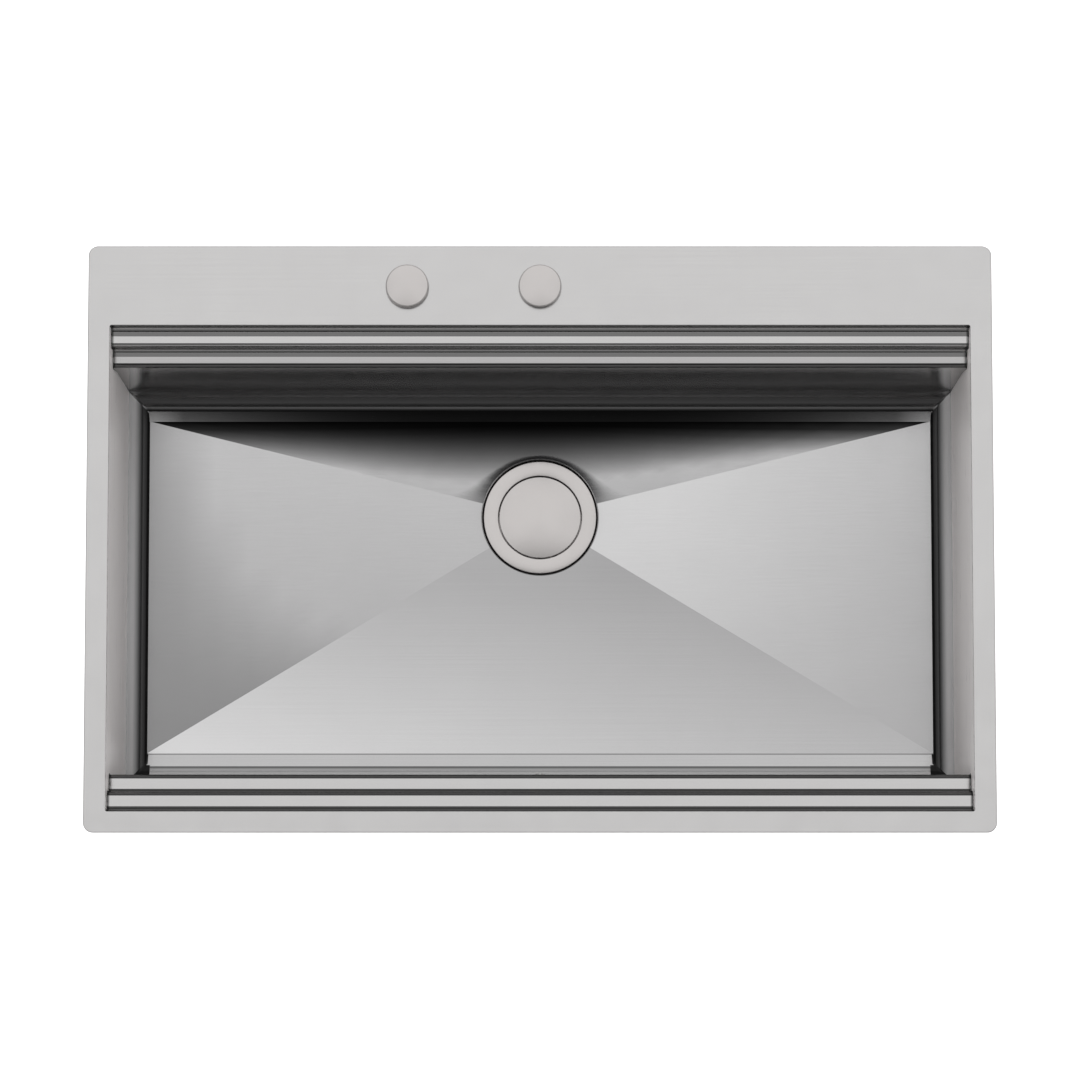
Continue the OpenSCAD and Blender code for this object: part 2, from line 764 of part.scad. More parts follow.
// cone and threaded outlet, welded to the foot of the body
module waste_tail() {
    bore = outlet_r - outlet_wall;
    shoulder = 3;                             // above the thread, for the trap's nut
    color(plastic) at_drain(0) rotate_extrude() polygon([
        [body_r, hollow_end_z], [body_r + body_wall, hollow_end_z],
        [body_r + body_wall, hollow_end_z - body_wall], [outlet_r + shoulder, outlet_z],
        [outlet_r, outlet_z], [outlet_r, outlet_end_z], [bore, outlet_end_z], [bore, outlet_z + body_wall]
    ]);
}

// boss for the centre screw, on four arms that reach the body's wall
module waste_spider() {
    color(plastic) at_drain(0) difference() {
        union() {
            translate([0, 0, boss_end_z]) cylinder(h = boss_h, r = boss_r);
            translate([0, 0, boss_z - arm_h]) intersection() {
                cylinder(h = arm_h, r = body_r - running);
                for (a = [0, 90]) rotate([0, 0, a])
                    translate([-body_r, -arm_t / 2, 0]) cube([2 * body_r, arm_t, arm_h]);
            }
        }
        translate([0, 0, boss_end_z - cut]) cylinder(h = boss_h + 2 * cut, r = centre_screw_d / 2 + running);
    }
}

// bracket on the body's wall, with two ears that carry the lever's pivot
module lever_bracket() {
    ear_h = pivot_d + 6;
    ear_l = body_r + pivot_x + pivot_d;
    inner = lever_w / 2 + seat_gap;
    outer = inner + ear_t;
    color(plastic) at_drain(pivot_z) difference() {
        intersection() {
            cylinder(h = ear_h, r = body_r - running, center = true);
            translate([-body_r, 0, -ear_h / 2]) difference() {
                translate([0, -outer, 0]) cube([ear_l, 2 * outer, ear_h]);
                translate([ear_t, -inner, -cut]) cube([ear_l, 2 * inner, ear_h + 2 * cut]);
            }
        }
        translate([pivot_x, 0, 0]) rotate([90, 0, 0]) cylinder(h = 2 * outer + 2 * cut, d = pivot_d, center = true);
    }
}

module lever_pivot() {
    color(steel) at_drain(0) translate([pivot_x, 0, pivot_z]) rotate([90, 0, 0])
        cylinder(h = lever_w + 2 * seat_gap + 2 * ear_t, d = pivot_d, center = true);
}

module lift_pin() {
    color(steel) at_drain(lift_pin_end_z) cylinder(h = lift_pin_top_z - lift_pin_end_z, d = lift_pin_d);
}

// bell crank, drawn level and then lowered to its rest angle
module lift_lever() {
    arm_t = lever_end_d - 2;
    reach = lever_reach / cos(lever_rest);
    color(plastic) at_drain(0) translate([pivot_x, 0, pivot_z]) rotate([0, lever_rest, 0]) rotate([90, 0, 0])
        translate([0, 0, -lever_w / 2]) linear_extrude(lever_w) difference() {
            union() {
                circle(lever_end_r);
                translate([reach, 0]) circle(lever_end_r);
                translate([0, -arm_t / 2]) square([reach, arm_t]);
                translate([-arm_t / 2, 0]) square([arm_t, lever_arm]);
            }
            circle(pivot_d / 2 + running);
        }
}

// ---- push control ----

module bevelled_disc(r, h) {
    rotate_extrude() polygon([[0, 0], [r, 0], [r, h - cap_bevel], [r - cap_bevel, h], [0, h]]);
}

module control_cap() {
    color(steel) at_control(button_z) bevelled_disc(cap_r, button_cap_t);
}

module control_plunger() {
    wall = 2;
    color(plastic) at_control(plunger_end_z) difference() {
        cylinder(h = plunger_l, d = plunger_d);
        translate([0, 0, -cut]) cylinder(h = plunger_l - 3 + cut, r = spring_d / 2 - 2 * wall);
    }
}

module return_spring() {
    color(dark_steel) at_control(spring_z)
        ring(spring_d / 2 - spring_wire, spring_d / 2, plunger_end_z - spring_z);
}

module control_bush() {
    color(dark_steel) at_control(0) difference() {
        union() {
            translate([0, 0, bush_face_z - bush_flange_t]) cylinder(h = bush_flange_t, r = cap_r);
            translate([0, 0, bush_end_z]) cylinder(h = bush_l, r = bush_r);
            translate([0, 0, bush_end_z - gland_l]) cylinder(h = gland_l, d = gland_d);
        }
        translate([0, 0, spring_z]) cylinder(h = bush_face_z - spring_z + cut, r = bore_r);
        translate([0, 0, bush_end_z - gland_l - cut])
            cylinder(h = cable_grip + cut, r = cable_d / 2 + running);
        translate([0, 0, bush_end_z - gland_l]) cylinder(h = gland_l + bush_floor_t + cut, d = cable_d / 2);
    }
}

module control_gasket() {
    color(rubber) at_control(face_z) ring(bush_r + running, cap_r - cap_bevel, control_gasket_t);
}

module control_nut() {
    color(dark_steel) at_control(nut_z - control_nut_t) difference() {
        cylinder(h = control_nut_t, d = control_nut_d, $fn = 6);
        translate([0, 0, -cut]) cylinder(h = control_nut_t + 2 * cut, r = bush_r + running);
    }
}

// quarter of a round bar or hole, bent from straight down to along +X
module quarter_bend(bend_r, r) {
    translate([bend_r, 0, 0]) rotate([90, 0, 0]) rotate([0, 0, 180])
        rotate_extrude(angle = 90) translate([bend_r, 0]) circle(r);
}

// straight down from the control, forwards under the bowl, and right into the waste body
module control_cable() {
    r = cable_d / 2;
    top_z = bush_end_z - gland_l + cable_grip;
    end_x = -body_r - body_wall - gland_l + cable_grip;
    bend_z = gland_z + cable_bend_r;
    turn_y = drain_y + cable_bend_r;
    start_y = tap_y - cable_bend_r;
    color(rubber) {
        translate([control_x, tap_y, bend_z]) cylinder(h = top_z - bend_z, r = r);
        translate([control_x, tap_y, bend_z]) rotate([0, 0, -90]) quarter_bend(cable_bend_r, r);
        translate([control_x, start_y, gland_z]) rotate([90, 0, 0]) cylinder(h = start_y - turn_y, r = r);
        translate([control_x, turn_y, gland_z]) rotate([-90, 0, 0]) quarter_bend(cable_bend_r, r);
        translate([control_x + cable_bend_r, drain_y, gland_z]) rotate([0, 90, 0])
            cylinder(h = end_x - control_x - cable_bend_r, r = r);
    }
}

// ---- tap-hole cover ----

module tap_hole_cover() {
    color(steel) translate([0, tap_y, face_z + blank_seal_t]) {
        bevelled_disc(cap_r, blank_cap_h);
        translate([0, 0, -stud_l]) cylinder(h = stud_l, d = stud_d);
    }
}

module tap_cover_seal() {
    color(rubber) translate([0, tap_y, face_z]) ring(tap_r - 4, cap_r - cap_bevel, blank_seal_t);
}

module tap_cover_washer() {
    color(dark_steel) translate([0, tap_y, nut_z - blank_washer_t])
        ring(stud_d / 2 + loose, blank_washer_d / 2, blank_washer_t);
}

module tap_cover_wing_nut() {
    hub_h = wing_h * 0.6;
    color(dark_steel) translate([0, tap_y, nut_z - blank_washer_t]) difference() {
        union() {
            translate([0, 0, -hub_h]) cylinder(h = hub_h, d = wing_hub_d);
            rotate([90, 0, 0]) translate([0, 0, -wing_t / 2]) linear_extrude(wing_t) intersection() {
                translate([-wing_span / 2, -wing_h]) square([wing_span, wing_h - 2]);
                for (s = [-1, 1]) translate([s * (wing_span - wing_h) / 2, -wing_h / 2 - 1]) circle(wing_h / 2);
            }
            translate([-wing_hub_d / 2 - 2, -wing_t / 2, -hub_h]) cube([wing_hub_d + 4, wing_t, hub_h - 2]);
        }
        translate([0, 0, -wing_h - cut]) cylinder(h = wing_h + 2 * cut, r = stud_d / 2 + running);
    }
}

// ---- overflow ----

// a shape drawn upwards from z = 0, laid to point outwards through the front wall
module through_front(y) {
    translate([0, y, overflow_z]) rotate([90, 0, 0]) children();
}

module overflow_plate() {
    slots = 8;
    color(steel) through_front(front_wall_y + overflow_plate_t) difference() {
        cylinder(h = overflow_plate_t, d = overflow_plate_d);
        translate([0, 0, -cut]) {
            cylinder(h = overflow_plate_t + 2 * cut, r = overflow_screw_d / 2 + loose);
            for (i = [0:slots - 1]) rotate([0, 0, i * 360 / slots]) translate([overflow_hole_d / 2 - 4, 0, 0])
                cylinder(h = overflow_plate_t + 2 * cut, d = overflow_slot_d);
        }
    }
}

module overflow_screw() {
    reach = front_wall_y + overflow_plate_t - elbow_y + elbow_depth / 2;
    color(steel) through_front(front_wall_y + overflow_plate_t) {
        translate([0, 0, -overflow_head_h]) cylinder(h = overflow_head_h, d = 2 * overflow_screw_d);
        cylinder(h = reach, d = overflow_screw_d);
    }
}

module overflow_gasket() {
    color(rubber) through_front(front_out_y) ring(overflow_hole_d / 2, elbow_d / 2, overflow_gasket_t);
}

module overflow_elbow() {
    inner_r = elbow_d / 2 - elbow_wall;
    boss = overflow_screw_d + 5;
    color(plastic) difference() {
        union() {
            through_front(elbow_y) {
                difference() {
                    cylinder(h = elbow_depth, d = elbow_d);
                    translate([0, 0, -cut]) cylinder(h = elbow_depth - elbow_wall + cut, r = inner_r);
                }
                cylinder(h = elbow_depth, d = boss);
            }
            translate([0, hose_y, elbow_tail_z]) cylinder(h = tail_l + elbow_d / 2 - inner_r + 1, r = tail_r);
        }
        translate([0, hose_y, elbow_tail_z - cut])
            cylinder(h = tail_l + elbow_d / 2 - inner_r + 2 + cut, r = tail_r - elbow_wall);
        through_front(elbow_y + cut)
            cylinder(h = elbow_depth / 2 + cut, r = overflow_screw_d / 2 + running);
    }
}

// hose from the elbow's tail down and back to the waste body, as a round bar of radius r
module hose_bar(r, extra) {
    top_z = elbow_tail_z + tail_l - hose_short;
    bend_z = port_z + hose_bend_r;
    end_y = port_y - hose_short;
    translate([0, hose_y, bend_z]) cylinder(h = top_z - bend_z + extra, r = r);
    translate([0, hose_y, bend_z]) rotate([0, 0, 90]) quarter_bend(hose_bend_r, r);
    translate([0, hose_y + hose_bend_r, port_z]) rotate([-90, 0, 0])
        cylinder(h = end_y - hose_y - hose_bend_r + extra, r = r);
}

module overflow_hose() {
    color(pad_grey) difference() {
        hose_bar(hose_r, 0);
        hose_bar(hose_bore_r, cut);
    }
}

module hose_clips() {
    from_end = 5;
    color(dark_steel) {
        translate([0, hose_y, elbow_tail_z + tail_l - hose_short - from_end - hose_clip_w])
            ring(hose_r + running, hose_r + hose_clip_t, hose_clip_w);
        translate([0, port_y - hose_short - from_end, port_z]) rotate([90, 0, 0])
            ring(hose_r + running, hose_r + hose_clip_t, hose_clip_w);
    }
}

// ---- fixing clips ----

module at_clip(i) {
    p = clip_places[i - 1];
    translate([p[0], p[1], 0]) children();
}

// folded bracket: welded flange, web on the bowl's side, and the flange that holds the screw
module clip_bracket(i) {
    p = clip_places[i - 1];
    web = -8;
    lip = 6;
    r = bracket_t + 0.5;
    path = [[0, p[3]], [web, p[3]], [web, clip_z], [lip, clip_z]];
    at_clip(i) scale([1, p[2], 1]) along_x(-bracket_w / 2, bracket_w)
        polygon(sheet_outline(path, [0, r, r, 0], -bracket_t));
}

module clip_screw(i) {
    drive_h = 4;
    at_clip(i) {
        translate([0, 0, clip_screw_end_z]) cylinder(h = clip_z - clip_screw_end_z + bracket_t, d = clip_screw_d);
        translate([0, 0, clip_z + bracket_t]) cylinder(h = clip_head_h, d = clip_screw_d + 3.5);
        translate([0, 0, clip_screw_end_z - drive_h]) cylinder(h = drive_h, d = clip_screw_d + 4, $fn = 6);
    }
}

module clip_brackets() {
    color(dark_steel) for (i = CLIPS) difference() {
        clip_bracket(i);
        at_clip(i) translate([0, 0, clip_z - cut])
            cylinder(h = bracket_t + 2 * cut, r = clip_screw_d / 2 + loose);
    }
}

module clip_screws() {
    color(dark_steel) for (i = CLIPS) clip_screw(i);
}

module clip_nut(i) {
    color(dark_steel) at_clip(i) translate([0, 0, clip_nut_z - clip_nut_t]) difference() {
        cylinder(h = clip_nut_t, d = clip_screw_d + 5, $fn = 6);
        translate([0, 0, -cut]) cylinder(h = clip_nut_t + 2 * cut, r = clip_screw_d / 2 + running);
    }
}

// claw with an upturned tooth, parked along +X
module clip_claw(i) {
    color(dark_steel) at_clip(i) translate([0, 0, claw_z - claw_t]) difference() {
        union() {
            linear_extrude(claw_t) {
                circle(d = claw_w);
                translate([0, -claw_w / 2]) square([claw_reach, claw_w]);
            }
            translate([claw_reach - claw_t, -claw_w / 2, 0]) cube([claw_t, claw_w, claw_t + tooth_h]);
        }
        translate([0, 0, -cut]) cylinder(h = claw_t + 2 * cut, r = clip_screw_d / 2 + 2 * running);
    }
}

deck_plate();
rear_wall();
front_wall();
left_wall();
right_wall();
floor_pan();
rim_seal();
tap_stiffener();
sound_pads();
strainer_ring();
ring_gasket();
body_gasket();
waste_body();
waste_tail();
waste_spider();
lever_bracket();
centre_screw();
strainer_basket();
plug_seal();
drain_cover();
lift_pin();
lift_lever();
lever_pivot();
control_cap();
control_plunger();
return_spring();
control_bush();
control_gasket();
control_nut();
control_cable();
tap_hole_cover();
tap_cover_seal();
tap_cover_washer();
tap_cover_wing_nut();
overflow_plate();
overflow_screw();
overflow_gasket();
overflow_elbow();
overflow_hose();
hose_clips();
clip_brackets();
clip_screws();
for (i = CLIPS) {
    clip_nut(i);
    clip_claw(i);
}
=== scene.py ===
"""Workstation kitchen sink: fine meshes, finishes, studio and camera around the CAD frame."""
import sys
import json
import logging
import math
from collections.abc import Callable, Sequence
from dataclasses import dataclass, field
from enum import Enum
from typing import ClassVar

import bmesh
import bpy
from mathutils import Matrix, Vector
from mathutils.geometry import tessellate_polygon


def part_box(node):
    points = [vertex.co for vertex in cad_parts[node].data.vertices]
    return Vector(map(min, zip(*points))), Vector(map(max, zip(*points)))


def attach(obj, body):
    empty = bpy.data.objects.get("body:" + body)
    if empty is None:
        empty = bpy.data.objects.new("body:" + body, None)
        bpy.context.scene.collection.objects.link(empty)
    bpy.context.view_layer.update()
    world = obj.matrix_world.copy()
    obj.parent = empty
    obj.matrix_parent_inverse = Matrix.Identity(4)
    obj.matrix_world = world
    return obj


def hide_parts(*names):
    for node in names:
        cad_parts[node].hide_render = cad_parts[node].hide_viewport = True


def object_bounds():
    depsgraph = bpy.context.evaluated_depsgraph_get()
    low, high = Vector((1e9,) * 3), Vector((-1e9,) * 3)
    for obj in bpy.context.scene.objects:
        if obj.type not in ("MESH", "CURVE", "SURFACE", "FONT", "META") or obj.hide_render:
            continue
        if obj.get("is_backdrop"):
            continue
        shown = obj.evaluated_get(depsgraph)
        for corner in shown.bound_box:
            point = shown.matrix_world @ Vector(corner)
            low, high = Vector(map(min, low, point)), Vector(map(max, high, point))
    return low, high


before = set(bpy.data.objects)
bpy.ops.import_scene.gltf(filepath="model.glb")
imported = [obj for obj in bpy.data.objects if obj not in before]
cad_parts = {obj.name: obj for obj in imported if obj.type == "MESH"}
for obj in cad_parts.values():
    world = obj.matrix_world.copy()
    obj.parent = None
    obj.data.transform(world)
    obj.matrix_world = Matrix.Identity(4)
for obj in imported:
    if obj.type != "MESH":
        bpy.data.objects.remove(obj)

CAD_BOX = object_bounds()
LOG = logging.getLogger("sink")
MM = 0.001
QUARTER = math.pi / 2
POLE = 1e-6
LEAST_RADIUS = 1e-5
EDGE_STEPS = 4
Pair = tuple[float, float]
Colour = tuple[float, float, float]
Ring = list[bmesh.types.BMVert]
Outline = Callable[[float], list[Vector]]


# ---- finishes ----


NOISE_RANGE = (0.25, 0.75)
BRUSHED_ACROSS, BRUSHED_ALONG, TURNED_ACROSS = 1500.0, 6.0, 2200.0
CLOUDS, CLOUD_SWING = 9.0, 0.012
SMUDGES, SMUDGE_SWING = 38.0, 0.018
LINE_ROUGHNESS = 0.03
RELIEF, WALL_RELIEF = 0.000004, 0.000001
PLAIN_METAL, PLAIN_EDGE = 0.6, 0.2 * MM
PLATE_SWING, MOULD_SWING = 0.07, 0.06


class Grain(Enum):
    """Direction in which a steel face was brushed."""

    ALONG_X = (1.0, 0.0, 0.0)
    ALONG_Y = (0.0, 1.0, 0.0)
    TURNED = (0.0, 0.0, 0.0)


def fill(node: bpy.types.Node, links: bpy.types.NodeLinks, inputs: dict[str, object]) -> None:
    """Fills the inputs of a node.

    Args:
        node: The node.
        links: Links of its tree.
        inputs: Values by the input's name, with _ for a space, or by i0 or i1 for its place. An
            output is linked.
    """
    for key, value in inputs.items():
        place = int(key[1:]) if key[0] == "i" and key[1:].isdigit() else key.replace("_", " ")
        if isinstance(value, bpy.types.NodeSocket):
            links.new(value, node.inputs[place])
        else:
            node.inputs[place].default_value = value


class Recipe:
    """Adds and links the nodes of one material.

    Args:
        name: Name of the new material.
    """

    def __init__(self, name: str) -> None:
        """Makes the empty material."""
        self.material = bpy.data.materials.new(name)
        self.material.use_nodes = True
        self.take(self.material.node_tree)

    @classmethod
    def of(cls, tree: bpy.types.NodeTree) -> "Recipe":
        """Returns a recipe that works on another tree, such as the world's."""
        recipe = cls.__new__(cls)
        recipe.take(tree)
        return recipe

    def take(self, tree: bpy.types.NodeTree) -> None:
        """Empties a tree and adds to it from now on."""
        self.nodes, self.links = tree.nodes, tree.links
        self.nodes.clear()

    def add(self, kind: str, **inputs: object) -> bpy.types.Node:
        """Adds a node and fills its inputs.

        Args:
            kind: Blender's name of the node type, without its ShaderNode prefix.
            inputs: Its inputs, as fill takes them.

        Returns:
            The new node.
        """
        node = self.nodes.new("ShaderNode" + kind)
        fill(node, self.links, inputs)
        return node

    def maths(self, operation: str, value: object, *others: object) -> bpy.types.NodeSocket:
        """Adds a Math node for each further value, in their order, and returns the last output."""
        for other in others or (0.0,):
            node = self.add("Math", i0=value, i1=other)
            node.operation = operation
            value = node.outputs[0]
        return value

    def vector(self, operation: str, a: object, b: object = (0.0, 0.0, 0.0)) -> bpy.types.NodeSocket:
        """Adds a Vector Math node and returns its output."""
        node = self.add("VectorMath", i0=a, i1=b)
        node.operation = operation
        return node.outputs[0]

    def place(self) -> bpy.types.NodeSocket:
        """Returns the object coordinates."""
        return self.add("TexCoord").outputs["Object"]

    def noise(self, scale: Colour | float, detail: float, at: object = None) -> bpy.types.NodeSocket:
        """Adds a noise and returns its value.

        Args:
            scale: Features per metre along each axis, or along all three.
            detail: Octaves of the noise.
            at: The coordinates it reads, or None for the object's own.

        Returns:
            The noise from 0 to 1.
        """
        scales = (scale,) * 3 if isinstance(scale, float) else scale
        spread = self.add("Mapping", Vector=at or self.place(), Scale=scales)
        return self.add("TexNoise", Vector=spread.outputs[0], Scale=1.0, Detail=detail).outputs["Fac"]

    def mapped(self, value: bpy.types.NodeSocket, start: Pair, end: Pair) -> bpy.types.Node:
        """Adds a node that maps one range to another and returns it."""
        low, high = start
        return self.add("MapRange", Value=value, From_Min=low, From_Max=high, To_Min=end[0], To_Max=end[1])

    def around(self, value: bpy.types.NodeSocket, middle: float, swing: float) -> bpy.types.NodeSocket:
        """Maps a noise to a number around middle."""
        return self.mapped(value, NOISE_RANGE, (middle - swing, middle + swing)).outputs[0]

    def step(self, value: bpy.types.NodeSocket, start: float, end: float) -> bpy.types.NodeSocket:
        """Rises smoothly from 0 at start to 1 at end, which may lie below start."""
        rising = start < end
        span = (start, end) if rising else (end, start)
        node = self.mapped(value, span, (0.0, 1.0) if rising else (1.0, 0.0))
        node.interpolation_type = "SMOOTHSTEP"
        return node.outputs[0]

    def tinted(self, colour: Colour, *factors: bpy.types.NodeSocket) -> bpy.types.NodeSocket:
        """Returns a colour scaled by each of the factors."""
        value: object = colour
        for factor in factors:
            grey = self.add("CombineXYZ", X=factor, Y=factor, Z=factor)
            value = self.vector("MULTIPLY", value, grey.outputs[0])
        return value

    def bump(self, height: bpy.types.NodeSocket, depth: float) -> bpy.types.NodeSocket:
        """Adds a bump of the given depth in metres and returns its normal."""
        return self.add("Bump", Height=height, Strength=1.0, Distance=depth).outputs[0]

    def close(self, shader: bpy.types.Node) -> bpy.types.Material:
        """Links the shader to the output and returns the material."""
        self.add("OutputMaterial", Surface=shader.outputs[0])
        return self.material


@dataclass(frozen=True)
class BrushedSteel:
    """Stainless steel with a brushed or turned grain.

    Attributes:
        name: Name of the material.
        colour: Reflectance of the metal.
        roughness: Mean roughness.
        anisotropy: How much wider the gloss is across the grain.
        grain: Direction of the brushing.
        centre: Axis of a turned face, in X and Y.
        streak: Swing of the grain's tone.
        upright: True for a wall, whose gloss spreads up and down.
        toned: True where the piece's own attributes hold its painted shade and scatter.
        metal: Share of the light that is mirrored; the rest is scattered matt as painted light.
        lift: Heights where an upright face starts and stops to lighten with painted light, and what it gains.
        outside: Distance from the sink's middle beyond which a side wall's face is plain metal without its
            painted reflection, or 0.
    """

    name: str
    colour: Colour = (0.60, 0.592, 0.59)
    roughness: float = 0.34
    anisotropy: float = 0.5
    grain: Grain = Grain.ALONG_X
    centre: Pair = (0.0, 0.0)
    streak: float = 0.03
    upright: bool = False
    toned: bool = False
    metal: float = 1.0
    lift: tuple[float, float, float] = (0.0, 1.0, 0.0)
    outside: float = 0.0

    def brushing(self, r: Recipe) -> tuple[bpy.types.NodeSocket, bpy.types.NodeSocket]:
        """Adds the grain and returns the direction across it and its lines."""
        if self.grain is Grain.TURNED:
            arm = r.vector("SUBTRACT", r.place(), (*self.centre, 0.0))
            arm = r.vector("MULTIPLY", arm, (1.0, 1.0, 0.0))
            radius = r.add("VectorMath", i0=arm)
            radius.operation = "LENGTH"
            along = r.add("CombineXYZ", X=radius.outputs["Value"]).outputs[0]
            return r.vector("NORMALIZE", arm), r.noise((TURNED_ACROSS, 1.0, 1.0), 3.0, along)
        x, y, _ = self.grain.value
        tangent = (0.0, 0.0, 1.0) if self.upright else (y, x, 0.0)
        across = r.add("CombineXYZ", X=tangent[0], Y=tangent[1], Z=tangent[2]).outputs[0]
        scale = tuple(BRUSHED_ALONG if axis else BRUSHED_ACROSS for axis in self.grain.value)
        return across, r.noise(scale, 4.0)

    def material(self) -> bpy.types.Material:
        """Builds the material."""
        r = Recipe(self.name)
        across, lines = self.brushing(r)
        factors = [r.around(lines, 1.0, self.streak), r.around(r.noise(CLOUDS, 3.0), 1.0, CLOUD_SWING)]
        metal = self.metal
        # painted light: the upright face lightens towards its foot
        if self.lift[2]:
            height = r.add("SeparateXYZ", Vector=r.place()).outputs["Z"]
            gain = r.maths("MULTIPLY", r.step(height, *self.lift[:2]), self.lift[2])
            factors.append(r.maths("ADD", gain, 1.0))
        # outside the bowl the side wall's painted reflection gives way to plain metal
        if self.outside:
            side = r.maths("ABSOLUTE", r.add("SeparateXYZ", Vector=r.place()).outputs["X"])
            plain = r.step(side, self.outside - PLAIN_EDGE, self.outside + PLAIN_EDGE)
            loss = r.maths("MULTIPLY", plain, 1 - PLAIN_METAL / self.colour[0])
            factors.append(r.maths("SUBTRACT", 1.0, loss))
            metal = r.maths("ADD", metal, r.maths("MULTIPLY", plain, 1 - metal))
        # painted shade and scatter, read from the piece's own attributes
        if self.toned:
            shade, scatter = (r.add("Attribute") for _ in range(2))
            shade.attribute_name, scatter.attribute_name = "shade", "scatter"
            factors.append(shade.outputs["Fac"])
            metal = r.maths("SUBTRACT", metal, scatter.outputs["Fac"])
        smudge = r.around(r.noise(SMUDGES, 4.0), self.roughness, SMUDGE_SWING)
        shader = r.add(
            "BsdfPrincipled",
            Base_Color=r.tinted(self.colour, *factors),
            Metallic=metal,
            Roughness=r.maths("ADD", smudge, r.around(lines, 0.0, LINE_ROUGHNESS)),
            Anisotropic=self.anisotropy,
            Tangent=across,
            Normal=r.bump(lines, WALL_RELIEF if self.upright else RELIEF),
        )
        return r.close(shader)


@dataclass(frozen=True)
class PlatedSteel:
    """Zinc-plated or bright steel of small fittings, with faint cloudy stains.

    Attributes:
        name: Name of the material.
        colour: Reflectance of the plating.
        stain: Reflectance of its cloudy patches.
        roughness: Mean roughness.
        patches: Cloudy patches per metre.
        grit: Features per metre of the surface's grain.
        relief: Depth of that grain in metres.
    """

    name: str
    colour: Colour = (0.58, 0.58, 0.57)
    stain: Colour = (0.47, 0.46, 0.43)
    roughness: float = 0.33
    patches: float = 160.0
    grit: float = 2600.0
    relief: float = 0.000012

    def material(self) -> bpy.types.Material:
        """Builds the material."""
        r = Recipe(self.name)
        patch = r.around(r.noise(self.patches, 5.0), 0.5, 0.5)
        blend = r.add("Mix", Factor=patch)
        blend.data_type = "RGBA"
        blend.inputs[6].default_value = (*self.colour, 1.0)
        blend.inputs[7].default_value = (*self.stain, 1.0)
        grit = r.noise(self.grit, 3.0)
        shader = r.add(
            "BsdfPrincipled",
            Base_Color=blend.outputs[2],
            Metallic=1.0,
            Roughness=r.around(patch, self.roughness, PLATE_SWING),
            Normal=r.bump(grit, self.relief),
        )
        return r.close(shader)


@dataclass(frozen=True)
class Moulded:
    """Moulded plastic, rubber or a sprayed damping pad.

    Attributes:
        name: Name of the material.
        colour: Its colour.
        roughness: Mean roughness.
        texture: Features per metre of the surface's grain.
        relief: Depth of that grain in metres.
        bloom: Swing of the faint dusty patches.
        dust: Dusty patches per metre.
    """

    name: str
    colour: Colour
    roughness: float = 0.5
    texture: float = 1400.0
    relief: float = 0.00003
    bloom: float = 0.08
    dust: float = 55.0

    def material(self) -> bpy.types.Material:
        """Builds the material."""
        r = Recipe(self.name)
        grain = r.noise(self.texture, 4.0)
        dust = r.noise(self.dust, 5.0)
        factors = (r.around(dust, 1.0, self.bloom), r.around(grain, 1.0, self.bloom / 2))
        shader = r.add(
            "BsdfPrincipled",
            Base_Color=r.tinted(self.colour, *factors),
            Roughness=r.around(dust, self.roughness, MOULD_SWING),
            Normal=r.bump(grain, self.relief),
        )
        return r.close(shader)


# ---- mesh tools ----


def flat_vector(x: float, y: float) -> Vector:
    """Returns a vector in the plane of an outline."""
    return Vector((x, y))


def quarter_arc(steps: int) -> list[Pair]:
    """Returns 1 - cos and 1 - sin of the angles from 0 to a quarter turn."""
    angles = (k * QUARTER / steps for k in range(steps + 1))
    return [(1 - math.cos(a), 1 - math.sin(a)) for a in angles]


def ways(path: Sequence[Vector], i: int) -> tuple[Vector, Vector, float]:
    """Finds how a path turns at one of its corners.

    Args:
        path: Corners of the path.
        i: Index of the corner.

    Returns:
        The unit way into the corner, the unit way out of it, and 1 for a left turn or -1 for a right one.
    """
    last = len(path) - 1
    way_in = (path[i] - path[i - 1] if i else path[1] - path[0]).normalized()
    way_out = (path[i + 1] - path[i]).normalized() if i < last else way_in
    return way_in, way_out, math.copysign(1.0, way_in.x * way_out.y - way_in.y * way_out.x)


def shifted(path: Sequence[Vector], step: float) -> list[Vector]:
    """Moves every side of a path to its left.

    Args:
        path: Corners of the path.
        step: Distance to move, negative for the right.

    Returns:
        The moved corners.
    """
    corners = []
    for i, corner in enumerate(path):
        a, b, _ = ways(path, i)
        a, b = flat_vector(-a.y, a.x), flat_vector(-b.y, b.x)
        corners.append(corner + (a + b) * (step / (1.0 + a.dot(b))))
    return corners


def rounded(path: Sequence[Vector], radii: Sequence[float], steps: int = 12) -> list[Vector]:
    """Rounds the inner corners of a path.

    Args:
        path: Corners of the path.
        radii: Radius at each corner; the first and last are not used.
        steps: Straight steps of each arc.

    Returns:
        Points of the rounded path.
    """
    points = [path[0]]
    for i in range(1, len(path) - 1):
        way_in, way_out, sign = ways(path, i)
        turn = way_in.angle(way_out)
        start = path[i] - way_in * (radii[i] * math.tan(turn / 2))
        centre = start + flat_vector(-way_in.y, way_in.x) * (sign * radii[i])
        first = math.atan2(start.y - centre.y, start.x - centre.x)
        for k in range(steps + 1):
            angle = first + sign * turn * k / steps
            points.append(centre + flat_vector(math.cos(angle), math.sin(angle)) * radii[i])
    points.append(path[-1])
    return points


def eased(
    points: Sequence[Pair], radius: float, corners: Sequence[int], steps: int = EDGE_STEPS
) -> list[Vector]:
    """Rounds chosen corners of a turned profile by one small radius.

    Args:
        points: Radius and height of each corner of the profile.
        radius: Radius of the rounding.
        corners: Indexes of the corners to round.
        steps: Straight steps of each arc.

    Returns:
        Points of the profile.
    """
    path = [flat_vector(*p) for p in points]
    radii = [radius if i in corners else 0.0 for i in range(len(path))]
    out = [path[0]]
    for i in range(1, len(path) - 1):
        out += rounded(path[i - 1:i + 2], [0.0, radii[i], 0.0], steps)[1:-1] if radii[i] else [path[i]]
    return [*out, path[-1]]


